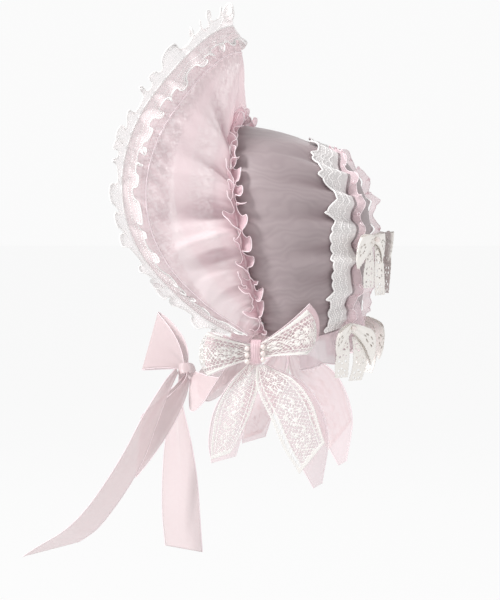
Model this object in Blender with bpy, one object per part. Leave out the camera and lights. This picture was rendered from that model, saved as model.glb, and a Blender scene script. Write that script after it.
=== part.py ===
"""A frilled organza bonnet with a tall flared brim, lace, side bows, back bows and chin ties.

Frame: +Z up, the wearer faces -Y, +X is the wearer's left. The origin is where the top of the
head touches the inside of the crown. Tables are in millimetres; the objects are in metres.
Run it with: blender --background --python part.py
"""

from bisect import bisect_left
from math import copysign, cos, exp, pi, sin

import bmesh
import bpy
from mathutils import Vector

MM = 0.001
GAP = 0.3
SEAM_GAP = 1.4
CLOTH = 1.5
THIN_CLOTH = 1.0
RIBBON = 0.8
MERGE = 0.0001

# Each row is one station of the bonnet, from the middle of the head (row 0) down to the left jaw.
# front: the seam of crown and brim. full: the fullest line of the crown. ring: where the crown is
# gathered to its back. nape: the middle of the back at that row. edge: the outer edge of the brim.
# bulge: how far the brim bows backwards between seam and edge.
STATIONS = [
    # front (x, y, z)   full (x, y, z)     ring (x, y, z)     nape (y, z)  edge (x, y, z)      bulge
    ((0, -56, 10), (0, 0, 1.5), (0, 47, -17), (47, -17), (0, -54, 113), 14),
    ((34, -51, 1), (37, 2, -6), (24, 60, -26), (64, -27), (36, -65, 106), 9),
    ((58, -45, -19), (65, 8, -22), (40, 70, -42), (75, -42), (67, -84, 85), 5),
    ((73, -41, -43), (80, 14, -44), (49, 76, -58), (82.5, -57), (92, -106, 55), 7),
    ((81, -37, -69), (88, 20, -67), (55, 81, -75), (87.5, -72), (110, -126, 22), 10),
    ((85, -32, -97), (91.5, 25, -92), (58, 83, -93), (90, -88), (121, -139, -13), 12),
    ((86, -26, -124), (93, 29, -117), (59, 83.5, -111), (91, -104), (126, -144, -51), 12),
    ((86, -20, -148), (93, 31, -140), (58.5, 83, -130), (90.5, -120), (127, -139, -90), 11),
    ((86, -14, -168), (92, 32, -162), (57.5, 80.5, -150), (89, -135), (124, -123, -126), 10),
    ((85.5, -10, -184), (91, 32, -181), (56, 77, -169), (87, -149), (117, -95, -160), 8),
    ((84.5, -7, -197), (89.5, 32, -197), (54.5, 73, -187), (84, -162), (108, -63, -188), 5),
    ((83.5, -5, -207), (88, 31, -209), (52.5, 68, -203), (80.5, -174), (99, -38, -203), 2),
]
LAST = len(STATIONS) - 1

# Folds of the brim, gathered at the seam: the station where each lies, how far its crest stands
# out, its half width in stations and how far it runs towards the edge, as a share of the brim.
BRIM_FOLDS = [
    # station, height, half width, reach
    (0.0, 5.0, 0.45, 0.80),
    (1.1, 8.0, 0.40, 0.80),
    (2.7, 11.0, 0.42, 0.72),
    (3.7, 11.0, 0.34, 0.68),
    (5.2, 18.0, 0.38, 0.76),
    (6.7, 12.0, 0.48, 0.68),
    (7.9, 10.0, 0.45, 0.68),
    (9.0, 6.0, 0.42, 0.66),
]
# From SWEEP_FROM on, each next fold turns down towards the jaw on its way to the edge, by
# SWEEP_RATE stations more for each station, until SWEEP_TO.
SWEEP_FROM, SWEEP_TO, SWEEP_RATE = 2.0, 5.0, 1.1
# Soft folds of the crown where it is gathered to the back ring.
CROWN_FOLDS = [
    # station, height, half width
    (0.9, 4.0, 0.42),
    (2.4, 5.0, 0.42),
    (3.9, 5.5, 0.42),
    (5.4, 6.0, 0.42),
    (6.9, 5.5, 0.42),
    (8.4, 4.5, 0.42),
    (9.9, 3.5, 0.42),
]
# How wide the pink frill of the back ring is at each station.
TULLE_WIDTHS = (4, 5, 7, 9, 9, 7, 5, 5, 8, 8, 7, 7)
# How far the brim's lace stands out past the brim at each station.
LACE_REACH = (17, 17, 15, 12, 10, 9, 9, 9, 9, 9, 9, 9)

# Where the rows of the meshes lie: the crown from seam to ring, the back to its middle, the brim.
CROWN_ROWS = (0, 0.14, 0.32, 0.5, 0.68, 0.84, 1)
BACK_ROWS = (1.25, 1.6, 2)
BRIM_ROWS = (0, 0.14, 0.34, 0.66, 1)
BEAD_RADIUS = 2.7
CROWN_LENGTH = 120
NECK_START = 0.5

COLOURS = {
    # name: red, green, blue, roughness
    "crown_organza": (0.41, 0.33, 0.34, 0.6),
    "brim_organza": (0.82, 0.68, 0.70, 0.6),
    "pink_ruffle": (0.80, 0.56, 0.61, 0.6),
    "white_lace": (0.88, 0.84, 0.82, 0.8),
    "bow_lace": (0.83, 0.78, 0.73, 0.8),
    "bow_organza": (0.78, 0.60, 0.62, 0.5),
    "tie_organza": (0.76, 0.64, 0.65, 0.5),
    "ivory_ribbon": (0.82, 0.79, 0.74, 0.5),
    "bead": (0.88, 0.84, 0.79, 0.2),
}


def clear_scene():
    for old in list(bpy.data.objects):
        bpy.data.objects.remove(old)


def material(name):
    found = bpy.data.materials.get(name)
    if found:
        return found
    made = bpy.data.materials.new(name)
    made.use_nodes = True
    shader = made.node_tree.nodes["Principled BSDF"]
    red, green, blue, rough = COLOURS[name]
    shader.inputs["Base Color"].default_value = (red, green, blue, 1)
    shader.inputs["Roughness"].default_value = rough
    shader.inputs["Metallic"].default_value = 0
    return made


def smooth_line(points, t):
    """The Catmull-Rom curve through points, at t from 0 to len(points) - 1."""
    i = min(max(int(t), 0), len(points) - 2)
    s = t - i
    b, c = points[i], points[i + 1]
    a = points[i - 1] if i > 0 else b + (b - c)
    d = points[i + 2] if i + 2 < len(points) else c + (c - b)
    return 0.5 * (
        2 * b + (c - a) * s + (2 * a - 5 * b + 4 * c - d) * s**2 + (3 * b - a - 3 * c + d) * s**3
    )


def both_sides(column):
    """One column of STATIONS as points from the right jaw over the head to the left jaw."""
    left = []
    for row in STATIONS:
        value = row[column]
        left.append(Vector(value) if len(value) == 3 else Vector((0, *value)))
    right = [Vector((-p.x, p.y, p.z)) for p in left[:0:-1]]
    return right + left


FRONT = both_sides(0)
FULL = both_sides(1)
RING = both_sides(2)
NAPE = both_sides(3)
EDGE = both_sides(4)


def station_point(line, t):
    """A point of one of the five lines; t runs from -LAST, the right jaw, to LAST, the left jaw."""
    return smooth_line(line, t + LAST)


def slope(surface, a, b, along):
    """The direction in which surface(a, b) runs along its first or second parameter."""
    step = 0.01
    if along == 0:
        return (surface(a + step, b) - surface(a - step, b)).normalized()
    return (surface(a, b + step) - surface(a, b - step)).normalized()


def fold_wave(distance, half_width):
    """A crest with a shallow valley on each side."""
    q = distance / half_width
    return exp(-q * q) - 0.45 * exp(-((abs(q) - 1.7) ** 2))


def crown_plain(t, v):
    """The crown with no folds: v 0 at the front seam, 1 at the back ring, 2 at the middle of the back."""
    front, full, ring = (station_point(line, t) for line in (FRONT, FULL, RING))
    if v <= 1:
        return front * (2 * (v - 0.5) * (v - 1)) + full * (4 * v * (1 - v)) + ring * (2 * v * (v - 0.5))
    nape = station_point(NAPE, t)
    share = v - 1
    turned = sin(share * pi / 2)
    return Vector((ring.x * (1 - share), ring.y + (nape.y - ring.y) * turned, ring.z + (nape.z - ring.z) * turned))


def crown(t, v):
    """The outside of the crown, with the folds that run forward from the back ring."""
    lift = sum(high * fold_wave(abs(t) - at, half) for at, high, half in CROWN_FOLDS)
    fade = max(0.0, 1 - abs(v - 1) / 0.75) ** 2
    outward = slope(crown_plain, t, min(v, 0.99), 0).cross(slope(crown_plain, t, min(v, 0.99), 1))
    return crown_plain(t, v) + outward.normalized() * lift * fade


def brim_plain(t, s):
    """The brim with no folds: s 0 at the seam, 1 at the outer edge."""
    root, edge = station_point(FRONT, t), station_point(EDGE, t)
    root = root + Vector((0, -1, 0)) * SEAM_GAP
    run = station_point(FRONT, t + 0.05) - station_point(FRONT, t - 0.05)
    back = (edge - root).cross(run).normalized()
    bulge = smooth_line([Vector((row[5], 0, 0)) for row in STATIONS], abs(t)).x
    return root + (edge - root) * s + back * bulge * 4 * s * (1 - s)


def brim_normal(t, s):
    """The direction out of the brim's back, away from the face."""
    s = min(max(s, 0.01), 0.99)
    t = min(max(t, 0.02 - LAST), LAST - 0.02)
    return slope(brim_plain, t, s, 1).cross(slope(brim_plain, t, s, 0)).normalized()


def fold_root(t, s):
    """The station at the seam where the fold that passes (t, s) starts."""
    if t <= SWEEP_FROM:
        return t
    root = (t + SWEEP_RATE * SWEEP_FROM * s) / (1 + SWEEP_RATE * s)
    return root if root <= SWEEP_TO else t - SWEEP_RATE * (SWEEP_TO - SWEEP_FROM) * s


def brim(t, s):
    """The middle of the brim's cloth, with its gathered folds."""
    lift = 0.0
    for at, high, half, reach in BRIM_FOLDS:
        fade = max(0.0, 1 - s / reach)
        lift += high * fold_wave(fold_root(abs(t), s) - at, half * (1 + 0.2 * s)) * fade * min(1.0, s / 0.25)
    return brim_plain(t, s) + brim_normal(t, s) * lift


def fold_columns(folds, parts):
    """Stations from the top to the left jaw: one on each fold's crest, and parts between two crests."""
    crests = [fold[0] for fold in folds]
    stops = sorted({0.0, *crests, float(LAST)})
    columns = [0.0]
    for a, b in zip(stops, stops[1:]):
        steps = parts if b - a > 0.4 else 1
        columns += [a + (b - a) * (i + 1) / steps for i in range(steps)]
    return columns


CROWN_T = fold_columns(CROWN_FOLDS, 2)
BRIM_T = fold_columns(BRIM_FOLDS, 3)


def between(stops, value):
    """The stop below value, the one above it, and how far value is from one to the other."""
    i = min(max(bisect_left(stops, value), 1), len(stops) - 1)
    return stops[i - 1], stops[i], (value - stops[i - 1]) / (stops[i] - stops[i - 1])


def on_mesh(surface, columns, rows, t, v):
    """A point on the flat faces of the mesh that is made of surface at those columns and rows."""
    low, high, part = between(columns, abs(t))
    first, second, share = between(rows, v)
    near = surface(low, first).lerp(surface(low, second), share)
    far = surface(high, first).lerp(surface(high, second), share)
    p = near.lerp(far, part)
    return Vector((p.x if t >= 0 else -p.x, p.y, p.z))


def on_brim(t, s):
    return on_mesh(brim, BRIM_T, BRIM_ROWS, t, s)


def on_crown(t, v):
    return on_mesh(crown, CROWN_T, CROWN_ROWS, t, v)


class Run:
    """Even steps along a line: t for a share of its length from 0 to 1."""

    def __init__(self, line_at, first, last, steps=400):
        self.t = [first + (last - first) * i / steps for i in range(steps + 1)]
        points = [line_at(t) for t in self.t]
        self.far = [0.0]
        for a, b in zip(points, points[1:]):
            self.far.append(self.far[-1] + (b - a).length)
        self.length = self.far[-1]

    def at(self, share):
        want = min(max(share, 0.0), 1.0) * self.length
        i = min(max(bisect_left(self.far, want), 1), len(self.far) - 1)
        low, high = self.far[i - 1], self.far[i]
        part = (want - low) / (high - low)
        return self.t[i - 1] + (self.t[i] - self.t[i - 1]) * part


def mesh_object(name, points, faces, cloth):
    mesh = bpy.data.meshes.new(name)
    mesh.from_pydata([p * MM for p in points], [], faces)
    mesh.materials.append(material(cloth))
    made = bpy.data.objects.new(name, mesh)
    bpy.context.scene.collection.objects.link(made)
    return made


def weld(made):
    """Makes one of the points that lie on each other, such as those along the crown's middle."""
    shape = bmesh.new()
    shape.from_mesh(made.data)
    bmesh.ops.remove_doubles(shape, verts=shape.verts, dist=1e-6)
    bmesh.ops.dissolve_degenerate(shape, edges=shape.edges, dist=1e-6)
    shape.to_mesh(made.data)
    shape.free()


def thicken(made, thickness, offset=0.0):
    wall = made.modifiers.new("cloth", "SOLIDIFY")
    wall.thickness = thickness * MM
    wall.offset = offset


def sheet(name, surface, columns, rows, thickness, cloth, closed=False):
    """A sheet of cloth: surface(a, b) gives its middle, a 0 to 1 over columns, b 0 to 1 over rows."""
    lines = columns if closed else columns + 1
    points = [surface(i / columns, j / rows) for i in range(lines) for j in range(rows + 1)]
    faces = []
    for i in range(columns):
        near, far = i * (rows + 1), ((i + 1) % lines) * (rows + 1)
        faces += [(near + j, near + j + 1, far + j + 1, far + j) for j in range(rows)]
    made = mesh_object(name, points, faces, cloth)
    thicken(made, thickness)
    made.data.shade_smooth()
    return made


def make_crown():
    """The cap: open in front and below, gathered to a back ring, closed by the panel inside it."""
    columns = CROWN_T
    rows = [*CROWN_ROWS, *BACK_ROWS]
    points = []
    for t in columns:
        for v in rows:
            p = crown(t, v)
            points.append(Vector((0, p.y, p.z)) if t == 0 or v == 2 else p)
    across = len(rows)
    faces = []
    for i in range(len(columns) - 1):
        for j in range(across - 1):
            a, b = i * across + j, (i + 1) * across + j
            faces.append((a, b, b + 1, a + 1))
    made = mesh_object("crown", points, faces, "crown_organza")
    weld(made)
    mirror = made.modifiers.new("other side", "MIRROR")
    mirror.merge_threshold = MERGE
    thicken(made, CLOTH, offset=-1)
    made.data.shade_smooth()


def make_brim():
    """The wired brim: one flared sheet, gathered into folds where it is sewn to the crown."""
    columns = [-t for t in BRIM_T[:0:-1]] + BRIM_T
    rows = len(BRIM_ROWS) - 1

    def surface(a, b):
        return brim(columns[round(a * (len(columns) - 1))], BRIM_ROWS[round(b * rows)])

    sheet("brim", surface, len(columns) - 1, rows, CLOTH, "brim_organza")


def wave(a, waves):
    """A ruffle's wave along its length: 1 on the crests and 0 in the valleys."""
    return 0.5 + 0.5 * cos(2 * pi * waves * a)


def make_seam_ruffle():
    """The pink ruffle on the seam: one wing lies on the brim's back, the other on the crown."""
    waves, wing, high, stitched = 24, 13.0, 6.0, 3.1
    seam = Run(lambda t: station_point(FRONT, t), 0.3 - LAST, LAST - 0.3)

    def surface(a, b):
        t = seam.at(a)
        out = abs(2 * b - 1)
        lift = stitched + out * high * wave(a, waves)
        if b < 0.5:
            length = (station_point(EDGE, t) - station_point(FRONT, t)).length
            s = (stitched + out * wing) / length
            return on_brim(t, s) + brim_normal(t, s) * lift
        v = (stitched + out * wing) / CROWN_LENGTH
        return on_crown(t, v) + crown_normal(t, v) * lift

    sheet("seam_ruffle", surface, waves * 4, 2, THIN_CLOTH, "pink_ruffle")


def make_brim_lace():
    """The white lace gathered along the brim: half of it stands out past the edge."""
    waves, inner, high, stitched = 28, 17.0, 6.0, 2.1
    rim = Run(lambda t: station_point(EDGE, t), -LAST, LAST)
    reach = [Vector((w, 0, 0)) for w in LACE_REACH]

    def surface(a, b):
        t = rim.at(a)
        lift = abs(2 * b - 1) * high
        if b < 0.5:
            length = (station_point(EDGE, t) - station_point(FRONT, t)).length
            s = 1 - min(inner / length, 0.45) * (1 - 2 * b)
            return on_brim(t, s) + brim_normal(t, s) * (stitched + lift * wave(a, waves))
        near_end = min(max(t, 0.02 - LAST), LAST - 0.02)
        outward = slope(brim_plain, near_end, 0.97, 1)
        rise = stitched + lift * (2 * wave(a, waves) - 1)
        outer = smooth_line(reach, abs(t)).x
        return on_brim(t, 1) + outward * outer * (2 * b - 1) + brim_normal(t, 1) * rise

    sheet("brim_lace", surface, waves * 4, 2, THIN_CLOTH, "white_lace")


def make_inner_lace():
    """The lace laid on the brim's face side, whose pattern shows through the sheer brim."""
    waves, upper, lower, clear, high = 20, 0.86, 0.62, 2.5, 2.2
    reach = Run(lambda t: station_point(EDGE, t), 0.8 - LAST, LAST - 0.8)

    def surface(a, b):
        t = reach.at(a)
        s = upper + (lower - upper) * b
        return on_brim(t, s) - brim_normal(t, s) * (clear + high * b * wave(a, waves))

    sheet("inner_lace", surface, waves * 3, 1, THIN_CLOTH, "white_lace")


def ring_run():
    """Even steps along the back ring, short of its two lower ends."""
    return Run(lambda t: station_point(RING, t), 0.3 - LAST, LAST - 0.3)


def crown_normal(t, v):
    """The direction out of the crown."""
    return slope(crown_plain, t, v, 0).cross(slope(crown_plain, t, v, 1)).normalized()


def make_back_lace():
    """The white scalloped lace on the back ring, which points forward over the crown."""
    waves, wide, high, clear = 15, 22.0, 5.0, 3.6
    run = ring_run()

    def surface(a, b):
        t = run.at(a)
        v = 0.985 - b * wide / CROWN_LENGTH
        return on_crown(t, v) + crown_normal(t, v) * (clear + b * high * wave(a, waves))

    sheet("back_lace", surface, waves * 4, 1, THIN_CLOTH, "white_lace")


def make_back_tulle():
    """The pink frill inside the ring, standing out backwards."""
    waves, swing, clear, behind = 15, 3.6, 2.4, 1.4
    run = ring_run()
    wide = [Vector((w, 0, 0)) for w in TULLE_WIDTHS]

    def surface(a, b):
        t = run.at(a)
        normal = crown_normal(t, 0.99)
        base = on_crown(t, 1) + normal * clear + Vector((0, behind, 0))
        away = (normal * 0.9 + Vector((0, 0.6, 0))).normalized()
        side = Vector((0, 1, 0)).cross(away).cross(away).normalized()
        width = smooth_line(wide, abs(t)).x
        return base + away * width * b + side * swing * b * (2 * wave(a, waves) - 1)

    sheet("back_tulle", surface, waves * 4, 1, THIN_CLOTH, "pink_ruffle")


def nape_line(q):
    """The crown's lower edge: q 0 by the left bow, 1 at the middle of the nape, 2 by the right bow."""
    v = NECK_START + (2 - NECK_START) * min(q, 2 - q)
    p = on_mesh(crown, CROWN_T, (*CROWN_ROWS, *BACK_ROWS), LAST, v)
    return Vector((p.x if q <= 1 else -p.x, p.y, p.z))


def make_neck_frill():
    """The sheer frill that hangs from the crown's lower edge round the nape."""
    waves, wide, swing, lean = 12, 30.0, 4.0, 0.12
    run = Run(nape_line, 0.0, 2.0)

    def surface(a, b):
        q = run.at(a)
        base = nape_line(q)
        along = nape_line(min(q + 0.02, 2)) - nape_line(max(q - 0.02, 0))
        outward = Vector((along.y, -along.x, 0)).normalized()
        start = base - outward * CLOTH / 2 - Vector((0, 0, 2 * GAP))
        down = (outward * lean - Vector((0, 0, 1))).normalized()
        return start + down * wide * b + outward * swing * b * (2 * wave(a, waves) - 1)

    sheet("neck_frill", surface, waves * 4, 1, THIN_CLOTH, "bow_organza")


class Place:
    """A bow's own frame: its middle, the way it points along, up and out, and the side it is on."""

    def __init__(self, middle, along, up, side=1):
        self.middle, self.side = Vector(middle), side
        self.along = Vector(along).normalized()
        self.out = self.along.cross(Vector(up)).normalized()
        self.up = self.out.cross(self.along)

    def at(self, along, up, out):
        p = self.middle + self.along * along + self.up * up + self.out * out
        return Vector((p.x * self.side, p.y, p.z))


def bow_ring(name, place, loops, pinch, facing, thickness, cloth, columns=20, rows=2):
    """Two loops made of one ring of ribbon, pinched flat at the knot.

    loops: the loop behind and the loop ahead, each as length, rise, width, depth and sweep.
    pinch: how thick and how wide the ring is at the knot. facing: 1 in front of the other ring.
    """
    pinched, narrow = pinch

    def surface(a, b):
        turn = 2 * pi * a
        direction = 1 if cos(turn) >= 0 else -1
        length, rise, wide, depth, sweep = loops[1] if direction > 0 else loops[0]
        share = abs(cos(turn))
        fat = (pinched + (depth - pinched) * share**0.7) / 2
        width = narrow + (wide - narrow) * share**1.2
        up = rise * share + (b - 0.5) * width
        out = facing * (BOW_SPLIT + fat) + sin(turn) * fat + sweep * share**1.5
        return place.at(direction * length * share, up, out)

    return sheet(name, surface, columns, rows, thickness, cloth, closed=True)


def knot_band(name, place, half_size, cloth):
    """The band round the middle of a bow: a short tube that the loops pass through."""
    half_along, half_up, half_out = half_size

    def surface(a, b):
        turn = 2 * pi * a
        swell = 1 + 0.08 * sin(pi * b)
        up = copysign(abs(cos(turn)) ** 0.6, cos(turn)) * half_up
        out = copysign(abs(sin(turn)) ** 0.6, sin(turn)) * half_out
        return place.at((2 * b - 1) * half_along, up, out * swell)

    return sheet(name, surface, 12, 2, THIN_CLOTH, cloth, closed=True)


def strip(name, middle, across, widths, cloth, columns, rows, ripple=0.0, slant=0.0):
    """A length of ribbon from its middle line, its direction across and its widths.

    ripple: the depth of its lengthwise folds at the start. slant: how far the end is cut askew.
    """
    last = len(middle) - 1
    wide = [Vector((w, 0, 0)) for w in widths]

    def surface(a, b):
        t = a * last
        ahead, behind = smooth_line(middle, min(t + 0.05, last)), smooth_line(middle, max(t - 0.05, 0))
        along = (ahead - behind).normalized()
        side = smooth_line(across, a * (len(across) - 1)).normalized()
        normal = along.cross(side).normalized()
        width = smooth_line(wide, a * (len(wide) - 1)).x
        fold = ripple * cos(3 * pi * b) * (1 - a) ** 1.5 * min(1.0, a * 6)
        cut = along * slant * (b - 0.5) * a**3
        return smooth_line(middle, t) + side * width * (b - 0.5) + normal * fold + cut

    return sheet(name, surface, columns, rows, RIBBON, cloth)


def bead(name, centre, radius=BEAD_RADIUS):
    bpy.ops.mesh.primitive_uv_sphere_add(
        segments=10, ring_count=4, radius=radius * MM, location=centre * MM
    )
    made = bpy.context.object
    made.name = name
    made.data.name = name
    made.data.materials.append(material("bead"))
    made.data.shade_smooth()


# The bow over each side of the jaw, where crown, brim and tie meet. Along is backwards.
SIDE_BOW = {"middle": (97.6, -11, -222), "along": (0.04, 1, 0), "up": (0, 0, 1)}
# How thick and wide each ring of ribbon is in the knot, and how far it lies from the knot's middle.
SIDE_BOW_PINCH = (2.6, 13)
BOW_SPLIT = 0.9
# Half the knot's size along, up and out.
SIDE_KNOT = (5.0, 12.0, 7.9)
LACE_LOOPS = [
    # length, rise, width, depth, sweep
    (62, -4, 46, 9, -14.0),
    (63, 21, 46, 16, 0.0),
]
ORGANZA_LOOPS = [
    (60, -3, 46, 6, -14.0),
    (70, 28, 46, 7, 1.0),
]
# The tails hang from below the knot: rows of along, up and out from the knot, then widths.
SIDE_TAILS = {
    "tail_lace_front": {
        "middle": [(-5, -12.9, 2), (-11, -28, 3), (-20, -52, 4), (-29, -82, 2), (-38, -108, 0)],
        "widths": [8, 28, 42, 38, 24],
        "tilt": [0.0, 0.3, 0.5],
        "cloth": "bow_lace",
        "slant": 4,
    },
    "tail_lace_back": {
        "middle": [(5, -12.4, 4), (20, -31, 8), (37, -58, 8), (48, -86, 6), (58, -107, 4)],
        "widths": [8, 38, 46, 44, 38],
        "tilt": [0.0, 0.5, 0.6],
        "cloth": "bow_lace",
        "slant": -15,
    },
    "tail_organza_front": {
        "middle": [(-5, -12.9, -2), (-14, -31, -3), (-26, -56, -4), (-33, -86, -5), (-36, -112, -6)],
        "widths": [8, 30, 40, 38, 26],
        "tilt": [0.0, 0.3, 0.3],
        "cloth": "bow_organza",
        "slant": 0,
    },
    "tail_organza_back": {
        "middle": [(5, -12.9, -2), (22, -31, -3), (41, -58, -4), (56, -96, -5), (62, -136, -6)],
        "widths": [8, 36, 44, 38, 10],
        "tilt": [0.0, 0.5, 0.6],
        "cloth": "bow_organza",
        "slant": 0,
    },
}
SIDE_BEADS = [
    # along, up, out
    (-8.4, 3.4, 7.4),
    (-8.4, -3.4, 7.4),
    (-8.4, -10.0, 7.4),
    (8.4, 5.6, 9.8),
    (8.4, -1.2, 9.8),
    (8.4, -7.8, 8.8),
]


def make_side_bow(side, word):
    place = Place(SIDE_BOW["middle"], SIDE_BOW["along"], SIDE_BOW["up"], side)
    bow_ring(f"{word}_bow_lace", place, LACE_LOOPS, SIDE_BOW_PINCH, 1, THIN_CLOTH, "bow_lace")
    bow_ring(f"{word}_bow_organza", place, ORGANZA_LOOPS, SIDE_BOW_PINCH, -1, THIN_CLOTH, "bow_organza")
    knot_band(f"{word}_bow_knot", place, SIDE_KNOT, "pink_ruffle")
    for part, tail in SIDE_TAILS.items():
        middle = [place.at(*row) for row in tail["middle"]]
        across = [Vector((0, 1, tilt)) for tilt in tail["tilt"]]
        strip(f"{word}_{part}", middle, across, tail["widths"], tail["cloth"], 7, 2, 1.5, tail["slant"])
    for number, row in enumerate(SIDE_BEADS, 1):
        bead(f"{word}_bow_bead_{number}", place.at(*row))


# The small ivory bows on the back ring, left side; the right side mirrors them. Along is inwards.
BACK_BOWS = {
    "upper": {
        "middle": (51.5, 100.7, -108),
        "along": (-0.88, 0.47, 0.0),
        "up": (0.1, 0.1, 1),
        "loops": [(29, -7, 34, 10, -2.0), (20, -4, 32, 9, -3.0)],
        "tails": [[(-5, -7, 2), (-7, -20, 5), (-8, -36, 6.5), (-6, -50, 6.5)],
                  [(5, -7, 2), (12, -22, 3), (18, -40, 2), (26, -60, 0)]],
    },
    "lower": {
        "middle": (60.6, 79, -198),
        "along": (-0.75, 0.66, 0.0),
        "up": (0.1, 0.1, 1),
        "loops": [(20, -10, 24, 9, -1.0), (34, -16, 36, 10, -1.0)],
        "tails": [[(-5, -8, 2), (-8, -20, 4), (-10, -36, 5), (-9, -52, 5)],
                  [(5, -10, 2), (11, -22, 4), (14, -38, 5), (10, -56, 5)]],
    },
}
BACK_BOW_PINCH = (2.6, 9)
BACK_BOW_TAIL_WIDTHS = [6, 16, 20, 18]
BACK_BOW_BEAD_OUT = 7.1


def make_back_bow(side, word, level):
    bow = BACK_BOWS[level]
    place = Place(bow["middle"], bow["along"], bow["up"], side)
    name = f"{word}_{level}_back_bow"
    bow_ring(name, place, bow["loops"], BACK_BOW_PINCH, 1, RIBBON, "ivory_ribbon", 16, 1)
    across = [place.at(1, 0, 0) - place.at(0, 0, 0)] * 2
    for word_of_tail, rows in zip(("outer", "inner"), bow["tails"]):
        middle = [place.at(*row) for row in rows]
        strip(f"{name}_tail_{word_of_tail}", middle, across, BACK_BOW_TAIL_WIDTHS, "ivory_ribbon", 4, 1)
    bead(f"{name}_bead", place.at(0, 0, BACK_BOW_BEAD_OUT))


# The ties. Rows run from the bonnet to the knot under the chin, or from the knot outwards.
TIE_KNOT = {"middle": (0, -103, -253), "along": (0.51, 0.14, -0.84), "up": (0.84, 0.0, 0.51)}
TIE_KNOT_SIZE = (6, 12, 8)
# Half the thickness and half the width of a loop where it leaves the knot.
TIE_PINCH = (4.0, 8.6)
TIE_LOOPS = {
    # where each loop starts in the knot, how far it is led along it, its outer fold, its depth
    "tie_loop_right": (-3, -22, (-40, -143, -191), (-40, -161, -254), 15),
    "tie_loop_left": (3, 22, (24, -148, -298), (24, -154, -363), 15),
}
STRAP = [(81.4, -7, -202), (80, -26, -226), (75, -48, -257), (56, -69, -270), (32, -84, -266)]
STRAP_ENDS = {"left": (9.5, -95, -255), "right": (-11.4, -92.0, -252.4)}
STRAP_WIDTHS = [24, 46, 60, 54, 36, 12]
STRAP_ACROSS = [(0, 0.9, 0.5), (0, 0.8, 0.6), (0.2, 0.7, 0.7), (0.3, 0.6, 0.8)]
LONG_TAIL = [(6, -112.8, -250), (46, -117, -267), (60, -131, -299), (62, -145, -331), (62, -162, -361),
             (62, -183, -391), (62, -205, -414), (62, -237, -436)]
LONG_TAIL_WIDTHS = [12, 34, 48, 56, 60, 60, 60, 60]
LONG_TAIL_ACROSS = [(0.84, 0.0, 0.5), (0.9, -0.15, 0.3), (0.95, -0.2, 0.22), (0.95, -0.2, 0.25)]
SHORT_TAIL = [(-5, -112.6, -259), (-19, -119, -286), (-21, -117, -330), (-18, -115, -370), (-15, -113, -408),
              (-14, -110, -444)]
SHORT_TAIL_WIDTHS = [10, 24, 44, 56, 60, 60]
SHORT_TAIL_ACROSS = [(0.84, 0.0, 0.5), (0.7, 0.7, 0.0), (0.6, 0.8, 0.1), (0.6, 0.8, 0.2)]


def ribbon_loop(name, start, leaves, narrow, fold, depth, cloth):
    """One loop of a bow: it leaves the knot at start, turns at its outer fold and comes back.

    leaves: the way it comes out of the knot, as far as it is led that way.
    """
    top, bottom = fold
    end = (top + bottom) / 2

    def surface(a, b):
        turn = 2 * pi * a
        share = (1 - cos(turn)) / 2
        middle = start.lerp(start + leaves, share).lerp((start + leaves).lerp(end, share), share)
        across = narrow.lerp(bottom - top, share**1.2)
        out = (end - start).cross(bottom - top).normalized()
        fat = TIE_PINCH[0] + (depth / 2 - TIE_PINCH[0]) * share
        return middle + across * (b - 0.5) + out * sin(turn) * fat

    sheet(name, surface, 14, 2, RIBBON, cloth, closed=True)


def vectors(rows, side=1):
    return [Vector((x * side, y, z)) for x, y, z in rows]


def make_ties():
    place = Place(TIE_KNOT["middle"], TIE_KNOT["along"], TIE_KNOT["up"])
    knot_band("tie_knot", place, TIE_KNOT_SIZE, "tie_organza")
    narrow = place.at(0, -TIE_PINCH[1], 0) - place.at(0, TIE_PINCH[1], 0)
    for name, (start, led, top, bottom, depth) in TIE_LOOPS.items():
        leaves = place.at(led, 0, 0) - place.at(0, 0, 0)
        ribbon_loop(name, place.at(start, 0, 0), leaves, narrow, vectors([top, bottom]), depth, "tie_organza")
    for side, word in ((1, "left"), (-1, "right")):
        middle = vectors(STRAP, side) + vectors([STRAP_ENDS[word]])
        across = vectors(STRAP_ACROSS, side)
        strip(f"{word}_tie", middle, across, STRAP_WIDTHS, "tie_organza", 10, 3, 2.0)
    strip("tie_tail_left", vectors(LONG_TAIL), vectors(LONG_TAIL_ACROSS), LONG_TAIL_WIDTHS, "tie_organza",
          12, 2, 0.0, 40)
    strip("tie_tail_right", vectors(SHORT_TAIL), vectors(SHORT_TAIL_ACROSS), SHORT_TAIL_WIDTHS,
          "tie_organza", 8, 2, 1.5, 12)


def build():
    clear_scene()
    make_crown()
    make_brim()
    make_seam_ruffle()
    make_brim_lace()
    make_inner_lace()
    make_back_lace()
    make_back_tulle()
    make_neck_frill()
    for side, word in ((1, "left"), (-1, "right")):
        make_side_bow(side, word)
        make_back_bow(side, word, "upper")
        make_back_bow(side, word, "lower")
    make_ties()


build()
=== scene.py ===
"""A frilled organza bonnet with a tall gathered brim, lace, bows, pearls and ribbon ties.

Frame: +Z up, the open front looks to -Y, +X is the left side as worn, and the origin is at the
inside of the crown's top. Tables are in millimetres, finished pieces in metres.
"""

from math import cos, pi, radians, sin

import bpy
import numpy as np
from mathutils import Matrix, Vector


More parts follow.
